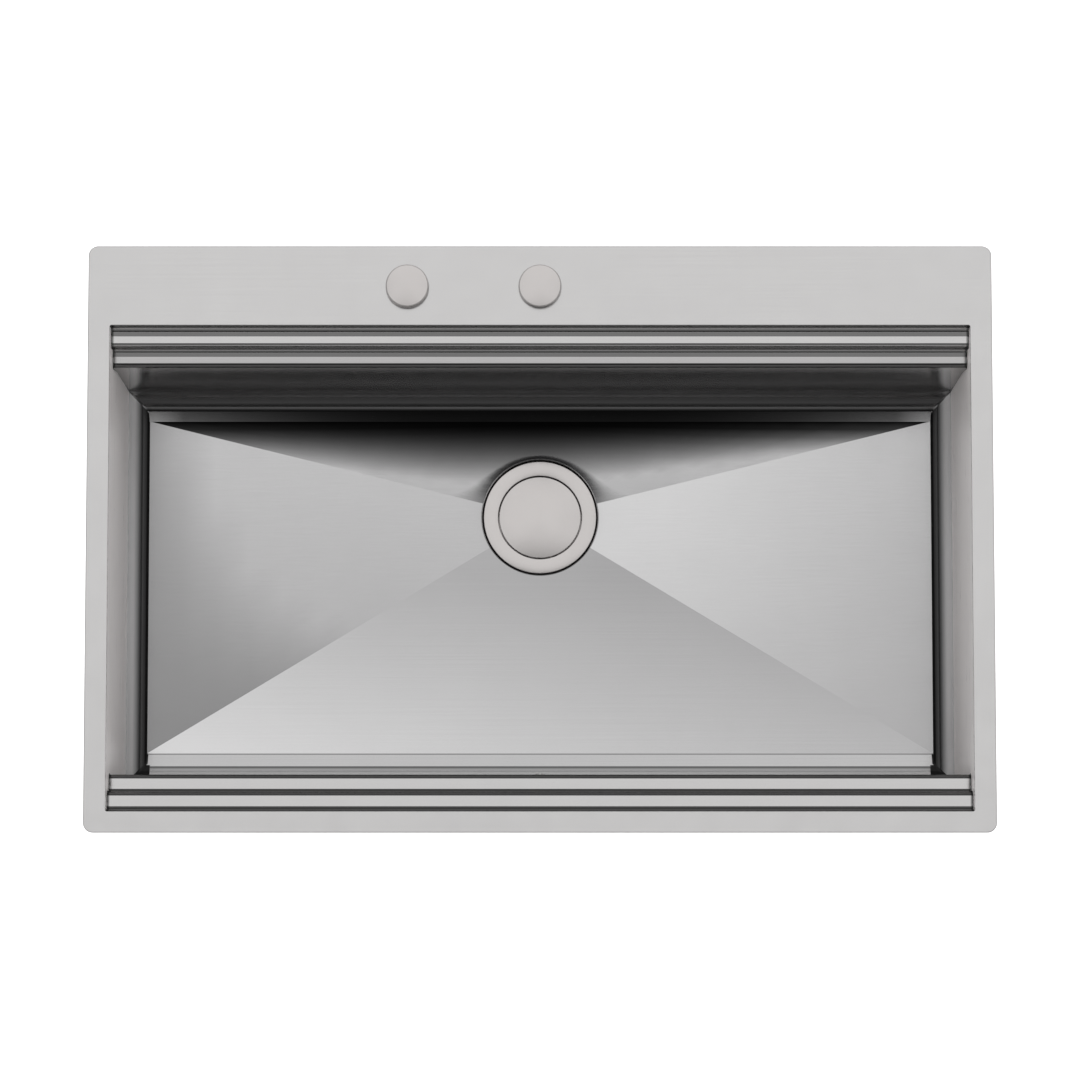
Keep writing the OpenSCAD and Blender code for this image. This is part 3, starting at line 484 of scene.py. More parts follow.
def rect_loop(
    low: Pair, high: Pair, radius: float, inset: float = 0.0, steps: int = 10
) -> list[Vector]:
    """Returns the corner-rounded outline of a rectangle, anticlockwise.

    Args:
        low: Lowest corner.
        high: Highest corner.
        radius: Corner radius before the inset.
        inset: Distance by which every side moves inwards, negative to grow.
        steps: Straight steps of each corner.

    Returns:
        Points of the outline.
    """
    r = max(radius - inset, LEAST_RADIUS)
    x0, y0 = low[0] + inset + r, low[1] + inset + r
    x1, y1 = high[0] - inset - r, high[1] - inset - r
    points = []
    for quarter, (x, y) in enumerate(((x1, y1), (x0, y1), (x0, y0), (x1, y0))):
        for k in range(steps + 1):
            a = (quarter + k / steps) * QUARTER
            points.append(flat_vector(x + r * math.cos(a), y + r * math.sin(a)))
    return points


def circle_loop(centre: Pair, radius: float, steps: int = 72) -> list[Vector]:
    """Returns the points of a circle, anticlockwise."""
    turns = (2 * math.pi * k / steps for k in range(steps))
    return [flat_vector(centre[0] + radius * math.cos(a), centre[1] + radius * math.sin(a)) for a in turns]


class Stock:
    """Collects the faces of one piece and makes its object, placed in the mesh."""

    def __init__(self) -> None:
        """Starts an empty mesh."""
        self.bm = bmesh.new()

    def ring(self, points: Sequence[Vector]) -> Ring:
        """Adds the points of a closed ring and returns its vertices."""
        return [self.bm.verts.new(p) for p in points]

    def level(self, loop: Sequence[Vector], z: float) -> Ring:
        """Adds a flat outline at height z and returns its vertices."""
        return self.ring([Vector((p.x, p.y, z)) for p in loop])

    def bridge(self, a: Ring, b: Ring) -> None:
        """Joins two rings of equal length, or a ring and a single point, by smooth faces."""
        count = max(len(a), len(b))
        for i in range(count):
            j = (i + 1) % count
            corners = [a[i % len(a)], a[j % len(a)], b[j % len(b)], b[i % len(b)]]
            corners = [v for k, v in enumerate(corners) if v not in corners[:k]]
            self.bm.faces.new(corners).smooth = True

    def loft(self, rings: Sequence[Ring], closed: bool = False) -> None:
        """Joins rings in order.

        Args:
            rings: The rings.
            closed: True to join the last ring to the first.
        """
        for a, b in zip(rings, [*rings[1:], rings[0]] if closed else rings[1:]):
            self.bridge(a, b)

    def cap(self, *loops: Ring) -> None:
        """Fills a flat face inside the first loop and outside the others."""
        verts = [v for loop in loops for v in loop]
        for triangle in tessellate_polygon([[v.co for v in loop] for loop in loops]):
            face = [verts[i] for i in triangle]
            if len(set(face)) == 3 and not self.bm.faces.get(face):
                self.bm.faces.new(face)

    def turned(
        self, profile: Sequence[Vector], centre: Pair, steps: int = 96, closed: bool = False
    ) -> None:
        """Turns a profile of radius and height about an upright axis.

        Args:
            profile: Points of the profile; a radius of 0 makes a pole.
            centre: Place of the axis in X and Y.
            steps: Straight steps of the turn.
            closed: True where the last point joins the first.
        """
        rings = []
        for p in profile:
            if p.x < POLE:
                rings.append(self.ring([Vector((*centre, p.y))]))
            else:
                rings.append(self.level(circle_loop(centre, p.x, steps), p.y))
        self.loft(rings, closed)

    def plate(self, loops: Sequence[Outline], low: float, high: float, ease: Sequence[float]) -> None:
        """Makes a flat plate with rounded upper edges.

        Args:
            loops: Outlines as functions of how far they move into the plate, the outer one first.
            low: Height of the underside.
            high: Height of the upper face.
            ease: Radius of each outline's upper edge.
        """
        bottom, top = [], []
        for loop, r in zip(loops, ease):
            rings = [self.level(loop(0.0), low)]
            for inward, under in quarter_arc(EDGE_STEPS):
                rings.append(self.level(loop(r * inward), high - r * under))
            self.loft(rings)
            bottom.append(rings[0])
            top.append(rings[-1])
        self.cap(*top)
        self.cap(*bottom)

    def make(self, name: str, finish: bpy.types.Material, sharp: float = 40.0) -> bpy.types.Object:
        """Closes the mesh and makes its object.

        Args:
            name: Name of the object.
            finish: Its material.
            sharp: Angle in degrees from which an edge stays sharp.

        Returns:
            The object, at the origin.
        """
        bmesh.ops.recalc_face_normals(self.bm, faces=self.bm.faces[:])
        for edge in self.bm.edges:
            if len(edge.link_faces) == 2 and edge.calc_face_angle(0.0) > math.radians(sharp):
                edge.smooth = False
        mesh = bpy.data.meshes.new(name)
        self.bm.to_mesh(mesh)
        self.bm.free()
        mesh.materials.append(finish)
        item = bpy.data.objects.new(name, mesh)
        bpy.context.scene.collection.objects.link(item)
        return item


@dataclass(frozen=True)
class Tone:
    """Painted shade and light of the steel at one corner of a face.

    Attributes:
        shade: Scale of its colour, which paints in shade and light.
        scatter: Share of the light that it scatters matt instead of mirroring, which paints in light.
    """

    shade: float = 1.0
    scatter: float = 0.0


def paint(item: bpy.types.Object, tone: Callable[[Vector, Vector, Vector], Tone]) -> None:
    """Gives each corner of each face its painted shade and scatter, as the attributes that a toned finish
    reads.

    Args:
        item: The piece.
        tone: Returns the tone of a corner, from its place and its face's middle and direction.
    """
    mesh = item.data
    tones = [Tone()] * len(mesh.loops)
    for face in mesh.polygons:
        for loop in face.loop_indices:
            tones[loop] = tone(mesh.vertices[mesh.loops[loop].vertex_index].co, face.center, face.normal)
    for name in ("shade", "scatter"):
        layer = mesh.attributes.new(name, "FLOAT", "CORNER")
        layer.data.foreach_set("value", [getattr(t, name) for t in tones])


def settle(item: bpy.types.Object, body: str, slot: str, *nodes: str) -> bpy.types.Object:
    """Puts a piece on its body and hides the nodes it stands for.

    Args:
        item: The piece.
        body: The CAD body that carries it.
        slot: Not used.
        nodes: CAD nodes that it replaces.

    Returns:
        The piece.
    """
    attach(item, body)
    if nodes:
        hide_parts(*nodes)
    faces, covered = len(item.data.polygons), ", ".join(nodes) or "nothing"
    LOG.info("%s: %d faces on %s for %s", item.name, faces, body, covered)
    return item


def dress(finish: bpy.types.Material, *nodes: str) -> None:
    """Gives CAD nodes a finish.

    Args:
        finish: The material.
        nodes: Names of the nodes.
    """
    for name in nodes:
        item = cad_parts[name]
        if not item.material_slots:
            item.data.materials.append(finish)
        for place in item.material_slots:
            place.material = finish
        LOG.info("%s: %s", name, finish.name)


# ---- folded steel ----


def smooth(value: float, start: float, end: float) -> float:
    """Returns a share that rises smoothly from 0 at start to 1 at end."""
    share = min(max((value - start) / (end - start), 0.0), 1.0)
    return share * share * (3 - 2 * share)


def mixed(a: float, b: float, share: float) -> float:
    """Returns the value at a share of the way from a to b."""
    return a + (b - a) * share


def keyed(value: float, *keys: Pair) -> float:
    """Returns what belongs to a value, on straight lines between keys of value and result."""
    for (a, x), (b, y) in zip(keys, keys[1:]):
        if value <= b:
            return mixed(x, y, max((value - a) / (b - a), 0.0))
    return keys[-1][1]


Keys = tuple[Pair, ...]
HIDDEN = -0.05  # a face whose direction lies below this looks away from the bowl
TOE_SLOPE = 0.88  # upright part of a face's direction, here and in the next two
LIP_SLOPES = (0.35, 0.92)
FLAT_SLOPE = 0.9
FLAT_BEND, FIRST_BEND = 0.05, 0.15  # shares of a bend below which a face is flat, or the bend's first


@dataclass(frozen=True)
class WallTones:
    """Painted shade and scatter of a stepped wall's steel.

    Attributes:
        steep: Tone of the steep part of a ledge's foot bend.
        toe: Tone of the flat part of that bend.
        lips: Shades of the upper and the lower lip bend in their middle.
        rims: Shades of those bends next to the tread and the drop.
        riser: Tone of the faces above the ledges.
        beside: Tone of the painted shadow on a tread beside its foot bend, or None for the tread's own.
        lower_tread: Tone of the lower tread, or None for the tread's own.
        tread: Tone of a tread.
        lip_scatter: Scatter of a lip's middle.
        rim_scatter: Scatter beside it.
        below: Scatter of the wall under the ledges, at its top, where its glow stops and at its foot.
    """

    steep: Tone
    toe: Tone
    lips: Pair
    rims: Pair
    riser: Tone
    beside: Tone | None = None
    lower_tread: Tone | None = None
    tread: Tone = Tone(0.94)
    lip_scatter: float = 0.1
    rim_scatter: float = 0.02
    below: tuple[float, float, float] = (0.34, 0.1, 0.05)


# painted shade and scatter of the front and the rear wall
FRONT_TONES = WallTones(Tone(0.22, 0.03), Tone(0.11, 0.03), (0.2, 0.2), (0.1, 0.1), Tone(0.55, 0.03))
REAR_TONES = WallTones(
    Tone(0.48, 0.05), Tone(0.34, 0.03), (0.55, 0.2), (0.3, 0.1), Tone(0.6, 0.04), Tone(0.28), Tone(0.76)
)


@dataclass(frozen=True)
class PanTones:
    """Painted shade and scatter of the floor pan's margins and bends, each bend from 0 at its foot to 1 at
    its top.

    Attributes:
        line: Shade of the black lines along the folds.
        left: Shade of the left margin beside its line.
        plain: Shade of the right and the front margin.
        side_foot: Shades at a side bend's foot and a little further out.
        side_foot_reach: Where the foot changes from the one to the other.
        side_lit: Where a side bend starts to lighten, and over how much.
        side_top: Shade of a side bend's upper part.
        side_scatter: Scatter of a side bend's foot, and what its upper part adds.
        strip: What the rear margin gains along it, with the fourth power of the share, and close to its ends.
        strip_end: Share along the rear margin from which it lightens fast.
        rear_shade: Shade of the rear bend.
        rear_scatter: Scatter of the rear bend.
        corner: Shade of the front corners.
        crease: Shade of the line between the front face and its margin.
        front_foot: Shade of the front bend's first face.
        front_lit: Where the front bend starts and stops to lighten.
        front_shade: Shades of the front bend before and after that.
        front_scatter: Scatter of the front bend after that.
    """

    line: float = 0.012
    left: float = 0.03
    plain: float = 0.85
    side_foot: Pair = (0.02, 0.1)
    side_foot_reach: Pair = (0.05, 0.25)
    side_lit: Pair = (0.33, 0.38)
    side_top: Keys = ((0.7, 0.86), (1.0, 1.22))
    side_scatter: Pair = (0.25, 0.6)
    strip: Pair = (0.2, 6.0)
    strip_end: float = 0.95
    rear_shade: Keys = ((0.0, 0.05), (0.22, 0.32), (0.42, 0.12), (0.56, 0.1), (0.75, 0.3), (1.0, 0.75))
    rear_scatter: Keys = ((0.0, 0.0), (0.3, 0.06), (0.75, 0.07), (1.0, 0.14))
    corner: float = 0.03
    crease: float = 0.4
    front_foot: float = 0.22
    front_lit: Pair = (0.22, 0.42)
    front_shade: Pair = (0.46, 1.1)
    front_scatter: float = 0.55


@dataclass(frozen=True)
class Fade:
    """How the painted shade of a falling face of the floor darkens from the drain to its rim.

    Attributes:
        near: Tone at the drain.
        far: Tone at the rim.
        reach: Share of the way in from the rim over which it changes.
        power: How late it changes.
        lean: How much further the far tone is pushed out on the positive side.
        spread: How much further it is pushed out at both ends.
        tilt: Swing of the tone along the rim.
    """

    near: float
    far: float
    reach: float
    power: float = 1.0
    lean: float = 0.0
    spread: float = 0.0
    tilt: float = 0.0

    def tone(self, way_in: float, side: float) -> float:
        """Returns the tone at a share of the way in from the rim, and from -1 to 1 along it."""
        reached = way_in * (1 + self.lean * side + self.spread * side * side) / self.reach
        share = min(max(reached, 0.0), 1.0) ** self.power
        return (self.far + (self.near - self.far) * share) * (1 + self.tilt * side)


@dataclass
class Basin:
    """Deck, stepped walls and floor pan.

    Attributes:
        sheet: Thickness of the steel.
        ledges: Widths of the upper and the lower ledge.
        drops: Heights from the deck's face to the upper ledge, and from that to the lower one.
        bends: Bend radii along a stepped wall, from the upper foot to the lower lip.
        weld: Radius of the ground welds in the bowl's upright corners.
        edge: Radius of the deck's upper edges.
        corner: Radius of the deck's outer corners.
        tap_hole: Radius of the tap holes.
        bottom: Bend radius between walls and floor.
        seam_rise: Height of the floor pan's edge above its bend.
        margins: Flat margins of the floor at the sides and at the ends.
        fall: Fall of the floor's faces.
        recess: Radius and depth of the drain's recess.
        drain_hole: Radius of the drain hole.
        folds: Distances from the bend to the lines across the margins, at the sides and at the ends.
        shadow: Width of the shade beside a rear ledge's foot.
        glow: Height over which the rear wall is lighter under its ledge.
        corner_shade: Width of the shade at a stepped wall's ends, below its ledges.
        end_line: Where the dark line at a ledge's ends stops.
        well_ease: Radius of the bends at the recess's rim and at its foot.
        spoke_gap: Angle beside a corner that holds no other spoke.
        front_spoke: Distance of one more spoke from each front corner.
        end_shade: Shade at a stepped wall's ends.
        fades: Painted shade of the falling faces.
        tones: Painted shade and scatter of the margins and bends.
    """

    SPOKES: ClassVar[int] = 144
    BEND_STEPS: ClassVar[int] = 12
    FACE_RINGS: ClassVar[int] = 10
    WELD_STEPS: ClassVar[int] = 6
    WELL_STEPS: ClassVar[int] = 3

    sheet: float = 1.2 * MM
    ledges: Pair = (17 * MM, 16 * MM)
    drops: Pair = (13 * MM, 16 * MM)
    bends: tuple[float, ...] = (4.8 * MM, 3.0 * MM, 3.5 * MM, 3.6 * MM)
    weld: float = 1.4 * MM
    edge: float = 0.7 * MM
    corner: float = 8.5 * MM
    tap_hole: float = 17.5 * MM
    bottom: float = 15 * MM
    seam_rise: float = 3 * MM
    margins: Pair = (2.8 * MM, 11.5 * MM)
    fall: float = 8 * MM
    recess: Pair = (52.5 * MM, 9.5 * MM)
    drain_hole: float = 45 * MM
    folds: Keys = ((2.5 * MM, 10.4 * MM), (1.9 * MM, 2.2 * MM), (0.5 * MM, 1.1 * MM))
    shadow: float = 3.3 * MM
    glow: float = 36 * MM
    corner_shade: float = 16 * MM
    end_line: float = 2.6 * MM
    well_ease: Pair = (1.2 * MM, 1.5 * MM)
    spoke_gap: float = 0.02
    front_spoke: float = 2.38 * MM
    end_shade: float = 0.3
    tones: PanTones = PanTones()
    fades: dict[str, Fade] = field(
        default_factory=lambda: {
            "E": Fade(1.02, 0.73, 0.8, 0.8, lean=0.3, tilt=0.08),
            "N": Fade(1.0, 0.002, 0.64, 2.6, lean=0.3, spread=1.7),
            "W": Fade(0.785, 0.5, 0.3, 1.3, lean=1.4, tilt=0.14),
            "S": Fade(0.67, 0.95, 0.75, tilt=-0.2),
        }
    )
    low: Vector = field(init=False)
    high: Vector = field(init=False)

    def __post_init__(self) -> None:
        """Reads the levels and the plan from the CAD boxes."""
        self.low, self.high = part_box("deck_plate")
        self.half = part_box("right_wall")[0].x
        self.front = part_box("front_wall")[0].y + self.sheet
        self.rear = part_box("rear_wall")[1].y - self.sheet
        self.front_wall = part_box("front_wall")[1].y
        self.rear_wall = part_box("rear_wall")[0].y
        self.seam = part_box("front_wall")[0].z
        self.floor = self.seam - self.bottom - self.seam_rise
        reach = self.bottom + self.margins[1]
        self.rim_x = self.half - self.bottom - self.margins[0]
        self.rim_y = (self.front_wall + reach, self.rear_wall - reach)
        self.ledge_z = (self.high.z - self.drops[0], self.high.z - sum(self.drops))
        self.drain = plan_of("strainer_ring")[1]
        self.taps = [plan_of(name)[1] for name in ("tap_hole_cover", "control_bush")]

    def deck(self, finish: bpy.types.Material) -> bpy.types.Object:
        """Makes the flat deck with its opening and tap holes."""
        stock = Stock()
        loops: list[Outline] = [
            lambda step: rect_loop(self.low.xy, self.high.xy, self.corner, step),
            lambda step: rect_loop((-self.half, self.front), (self.half, self.rear), self.weld, -step, 4),
            *[lambda step, at=at: circle_loop(at, self.tap_hole + step) for at in self.taps],
        ]
        ease = [self.edge, *[self.edge / 2] * (len(loops) - 1)]
        stock.plate(loops, self.low.z, self.high.z, ease)
        return stock.make("deck", finish)

    def section(self, push: float) -> list[Vector]:
        """Returns the closed outline of a stepped wall whose visible side is pushed out by a distance."""
        upper, lower = self.ledge_z
        inner, wide = self.ledges[0], sum(self.ledges)
        # the corners set by shadow and glow only carry the painted shadow and light
        corners = (
            (0, self.low.z), (0, upper), (self.bends[0] + self.shadow, upper), (inner, upper), (inner, lower),
            (inner + self.bends[2] + self.shadow, lower), (wide, lower),
            (wide, lower - self.bends[3] - self.glow), (wide, self.seam),
        )
        path = [flat_vector(*corner) for corner in corners]
        turns = [ways(path, i)[2] for i in range(len(path))]
        radii = [0.0, self.bends[0], 0.0, *self.bends[1:3], 0.0, self.bends[3], 0.0, 0.0]
        face = rounded(shifted(path, push), [r - s * push for r, s in zip(radii, turns)])
        back = rounded(shifted(path, -self.sheet), [r + s * self.sheet for r, s in zip(radii, turns)])
        return [*face, *reversed(back)]

    def stepped_wall(
        self, name: str, edge: float, way: float, finish: bpy.types.Material
    ) -> bpy.types.Object:
        """Makes the front or rear wall, with its two ledges and ground welds at both ends, and paints its
        shade and light.

        Args:
            name: Name of the piece.
            edge: Y of the opening's edge.
            way: 1 where the ledges grow towards the rear, or -1.
            finish: Its material.

        Returns:
            The wall.
        """
        stock = Stock()
        stations = [(self.weld * along, self.weld * out) for along, out in quarter_arc(self.WELD_STEPS)]
        # two more stations carry the painted shade at the wall's ends
        stations += [(self.end_line, 0.0), (self.corner_shade, 0.0)]
        places = [(-self.half + s, d) for s, d in stations]
        places += [(self.half - s, d) for s, d in reversed(stations)]
        rings = [
            stock.ring([Vector((x, edge + way * p.x, p.y)) for p in self.section(d)]) for x, d in places
        ]
        stock.loft(rings)
        stock.cap(rings[0])
        stock.cap(rings[-1])
        item = stock.make(name, finish)
        lip_foot = self.ledge_z[1] - self.bends[3]
        tones = FRONT_TONES if way > 0 else REAR_TONES

        def tone(at: Vector, middle: Vector, facing: Vector) -> Tone:
            """Returns the painted shade and scatter of one corner of a face."""
            plain = self.ledge_tone(tones, (middle.y - edge) * way, middle.z, at.z, facing, way)
            # painted shade: a thin dark line at a ledge's ends, a wider shade on the wall below
            reach = (self.weld, self.end_line) if middle.z > lip_foot else (0.0, self.corner_shade)
            end = mixed(self.end_shade, 1.0, smooth(self.half - abs(at.x), *reach))
            return Tone(plain.shade * end, plain.scatter)

        paint(item, tone)
        return item

    def ledge_tone(
        self, tones: WallTones, out: float, z: float, height: float, facing: Vector, way: float
    ) -> Tone:
        """Returns the painted shade and scatter of a stepped wall's steel at one corner of a face.

        Args:
            tones: The wall's tones.
            out: Distance of the face's middle from the opening's edge.
            z: Height of the face's middle.
            height: Height of the corner.
            facing: Direction of the face.
            way: 1 on the front wall, or -1.

        Returns:
            The tone.
        """
        upper, lower = self.ledge_z
        if facing.z < HIDDEN or facing.y * way < HIDDEN:
            return Tone()
        for i, (level, start, foot, lip, end) in enumerate((
            (upper, 0.0, self.bends[0], self.bends[1], self.ledges[0]),
            (lower, self.ledges[0], self.bends[2], self.bends[3], sum(self.ledges)),
        )):
            flat = abs(z - level) < self.sheet
            if start - self.sheet < out < start + foot and level - self.sheet < z < level + foot:
                return tones.steep if facing.z < TOE_SLOPE else tones.toe
            if tones.beside and start < out < start + foot + self.shadow and flat:
                return tones.beside
            if end - lip < out < end + self.sheet and level - lip < z < level + self.sheet:
                if LIP_SLOPES[0] <= facing.z <= LIP_SLOPES[1]:
                    return Tone(tones.lips[i], tones.lip_scatter)
                return Tone(tones.rims[i], tones.rim_scatter)
            if tones.lower_tread and flat and level == lower:
                return tones.lower_tread
        if facing.z > FLAT_SLOPE:
            return tones.tread
        if z > lower:
            return tones.riser
        top, middle, foot = tones.below
        drop = lower - self.seam
        glow = (self.bends[3] + self.glow) / drop
        return Tone(1.0, keyed((lower - height) / drop, (0.0, top), (glow, middle), (1.0, foot)))

    def depth_at(self, x: float, y: float) -> float:
        """Returns the height of the floor's falling faces at a place."""
        away = y - self.drain[1]
        span = (self.rim_y[1] if away > 0 else self.rim_y[0]) - self.drain[1]
        share = max(abs(x) / self.rim_x, away / span)
        return self.floor - self.fall * (1 - min(share, 1.0))

    def spokes(self) -> list[tuple[str, float, float]]:
        """Returns the lines of the floor's mesh around the drain.

        Returns:
            For each line its side (E, N, W or S) with its angle, or its corner (NE, NW, SW or SE)
            with the angle on the corner's arc, and its angle from the drain's centre.
        """
        x, top, foot = self.rim_x, self.rim_y[1] - self.drain[1], self.drain[1] - self.rim_y[0]
        corners = [("NE", x, top, 0), ("NW", -x, top, 1), ("SW", -x, -foot, 2), ("SE", x, -foot, 3)]
        lines = []
        for name, cx, cy, quarter in corners:
            for k in range(EDGE_STEPS + 1):
                turn = (quarter + k / EDGE_STEPS) * QUARTER
                px = cx - math.copysign(self.weld, cx) + self.weld * math.cos(turn)
                py = cy - math.copysign(self.weld, cy) + self.weld * math.sin(turn)
                lines.append((name, turn, math.atan2(py, px) % (2 * math.pi)))
        bounds_of = [math.atan2(cy, cx) % (2 * math.pi) for _, cx, cy, _ in corners]
        for k in range(self.SPOKES):
            angle = k * math.pi / (self.SPOKES // 2)
            if min(abs(angle - b) for b in bounds_of) > self.spoke_gap:
                place = sum(angle > b for b in bounds_of) % 4
                lines.append(("ENWS"[place], angle, angle))
        for way in (-1, 1):
            angle = math.atan2(-foot, way * (x - self.front_spoke)) % (2 * math.pi)
            lines.append(("S", angle, angle))
        return sorted(lines, key=lambda line: line[2])

    def outline(self, side_x: float, y0: float, y1: float, z: float | None) -> list[Vector]:
        """Returns one rectangular ring of the floor's mesh.

        Args:
            side_x: Half of its width.
            y0: Its front.
            y1: Its rear.
            z: Its height, or None for the falling faces' own.

        Returns:
            One point for each spoke.
        """
        points = []
        for side, turn, _ in self.spokes():
            if len(side) == 2:
                x = (side_x - self.weld) * (1 if "E" in side else -1) + self.weld * math.cos(turn)
                y = (y1 - self.weld if "N" in side else y0 + self.weld) + self.weld * math.sin(turn)
            elif side in "EW":
                x = side_x if side == "E" else -side_x
                y = self.drain[1] + self.rim_x * math.tan(turn) * (1 if side == "E" else -1)
            else:
                x = (self.rim_y[1 if side == "N" else 0] - self.drain[1]) / math.tan(turn)
                y = y1 if side == "N" else y0
            points.append(Vector((x, y, self.depth_at(x, y) if z is None else z)))
        return points

    def circle(self, radius: float, z: float | None = None, sink: float = 0.0) -> list[Vector]:
        """Returns one round ring of the floor's mesh, at height z or sunk below the falling faces."""
        points = []
        for _, _, angle in self.spokes():
            x, y = radius * math.cos(angle), self.drain[1] + radius * math.sin(angle)
            points.append(Vector((x, y, self.depth_at(x, y) - sink if z is None else z)))
        return points

    def floor_rings(self, back: float) -> list[list[Vector]]:
        """Returns the rings of one side of the floor, from the recess's wall out to the seam.

        Args:
            back: 0 for the visible side, or the sheet's thickness for the underside.

        Returns:
            The rings' points.
        """
        r, ease = self.recess[0] + back, self.well_ease[0]
        rings = []
        for out, down in quarter_arc(self.WELL_STEPS):
            rings.append(self.circle(r + ease * out, sink=back + ease * down))
        rim = [p - Vector((0, 0, back)) for p in self.outline(self.rim_x, *self.rim_y, None)]
        for k in range(1, self.FACE_RINGS):
            rings.append([a.lerp(b, k / self.FACE_RINGS) for a, b in zip(rings[self.WELL_STEPS], rim)])
        rings.append(rim)
        levels = [(self.bottom + side, self.bottom + end, self.floor - back) for side, end in self.folds]
        bend = self.bottom + back
        for k in range(self.BEND_STEPS + 1):
            a = k * QUARTER / self.BEND_STEPS
            grow = self.bottom - bend * math.sin(a)
            levels.append((grow, grow, self.floor + self.bottom - bend * math.cos(a)))
        levels.append((-back, -back, self.seam))
        for side, end, z in levels:
            rings.append(self.outline(self.half - side, self.front_wall + end, self.rear_wall - end, z))
        return rings

    def floor_pan(self, finish: bpy.types.Material) -> bpy.types.Object:
        """Makes the floor pan with its bent-up edges, falling faces and drain recess, and paints its shade
        and light.
        """
        stock = Stock()
        well, foot = self.floor - self.recess[1], self.well_ease[1]
        rings = [self.circle(self.drain_hole, well)]
        for up, inward in quarter_arc(self.WELL_STEPS):
            rings.append(self.circle(self.recess[0] - foot * inward, well + foot * up))
        rings += self.floor_rings(0.0)
        rings += reversed(self.floor_rings(self.sheet))
        rings.append(self.circle(self.recess[0] + self.sheet, well - self.sheet))
        rings.append(self.circle(self.drain_hole, well - self.sheet))
        stock.loft([stock.ring(points) for points in rings], closed=True)
        item = stock.make("floor_pan_fine", finish, 60.0)
        creases = {
            i
            for i, (side, turn, _) in enumerate(self.spokes())
            if len(side) == 2 and abs(turn % QUARTER - QUARTER / 2) < 0.01
        }
        count = len(self.spokes())
        for edge in item.data.edges:
            a, b = sorted(edge.vertices)
            if b - a == count and a % count in creases:
                edge.use_edge_sharp = True
        paint(item, self.floor_tone)
        return item

    def floor_tone(self, at: Vector, middle: Vector, facing: Vector) -> Tone:
        """Returns the painted shade and scatter of the floor pan's steel at one corner of a face.

        Args:
            at: Place of the corner.
            middle: Middle of its face.
            facing: Direction of its face.

        Returns:
            The tone.
        """
        if facing.z < HIDDEN:
            return Tone()
        x, y = middle.x, middle.y - self.drain[1]
        if middle.z < self.floor - self.sheet / 2 and math.hypot(x, y) < self.recess[0]:
            return Tone()
        front, rear = self.rim_y
        beyond = (abs(x) - self.rim_x, front - middle.y, middle.y - rear)
        out, along = max(beyond), at.x / self.rim_x
        if out < 0:
            return self.face_tone(at, x, y)
        if out == beyond[0]:
            return self.side_tone(at.z, middle.z, out, x < 0)
        if out == beyond[2]:
            return self.rear_tone(at.z, out, abs(along))
        return self.front_tone(at.z, middle.z, out, abs(x))

    def face_tone(self, at: Vector, x: float, y: float) -> Tone:
        """Returns the painted shade of a falling face, from a corner and from the face's place around the
        drain.
        """
        front, rear = self.rim_y
        along = at.x / self.rim_x
        far = max(y / (rear - self.drain[1]), -y / (self.drain[1] - front))
        if abs(x) / self.rim_x > far:
            mid_y = (front + rear) / 2
            side = (at.y - mid_y) / (rear - mid_y)
            return Tone(self.fades["E" if x > 0 else "W"].tone(1 - abs(along), side))
        end = rear if y > 0 else front
        return Tone(self.fades["N" if y > 0 else "S"].tone((end - at.y) / (end - self.drain[1]), along))

    def side_tone(self, z: float, face_z: float, out: float, left: bool) -> Tone:
        """Returns the painted shade and scatter of a side margin or bend.

        Args:
            z: Height of the corner.
            face_z: Height of its face's middle.
            out: Distance of the face beyond the falling faces.
            left: True on the left.

        Returns:
            The tone.
        """
        t = self.tones
        if self.bend_share(face_z) < FLAT_BEND:
            black = out < self.folds[1][0] if left else out > self.margins[0] - self.folds[0][0]
            return Tone(t.line if black else t.left if left else t.plain)
        bent = self.bend_share(z)
        start, width = t.side_lit
        lit = min(max((bent - start) / width, 0.0), 1.0)
        foot = mixed(*t.side_foot, smooth(bent, *t.side_foot_reach))
        return Tone(mixed(foot, keyed(bent, *t.side_top), lit), t.side_scatter[0] + t.side_scatter[1] * lit)

    def rear_tone(self, z: float, out: float, along: float) -> Tone:
        """Returns the painted shade and scatter of the rear margin or bend, at a share of the way to its
        ends.
        """
        t = self.tones
        if out < self.margins[1] - self.folds[1][1]:
            gain, end_gain = t.strip
            return Tone(min(t.line + gain * along**4 + end_gain * max(along - t.strip_end, 0.0), 1.0))
        if out < self.margins[1] - self.folds[2][1]:
            return Tone(t.line)
        bent = self.bend_share(z)
        return Tone(keyed(bent, *t.rear_shade), keyed(bent, *t.rear_scatter))

    def front_tone(self, z: float, face_z: float, out: float, away: float) -> Tone:
        """Returns the painted shade and scatter of the front margin or bend.

        Args:
            z: Height of the corner.
            face_z: Height of its face's middle.
            out: Distance of the face beyond the falling faces.
            away: Distance of the face from the sink's middle.

        Returns:
            The tone.
        """
        t = self.tones
        if away > self.rim_x - self.weld / 2:
            return Tone(t.corner)
        if out < self.margins[1] - self.folds[0][1]:
            return Tone(t.crease)
        fold = self.bend_share(face_z)
        if fold < FIRST_BEND:
            return Tone(t.plain if fold < FLAT_BEND else t.front_foot)
        lit = smooth(self.bend_share(z), *t.front_lit)
        return Tone(mixed(*t.front_shade, lit), t.front_scatter * lit)

    def bend_share(self, z: float) -> float:
        """Returns how far out along the floor's bend a height is, from 0 to 1."""
        rise = min(max((z - self.floor) / self.bottom, 0.0), 1.0)
        return (1 - (1 - rise) ** 2) ** 0.5


# ---- turned fittings ----


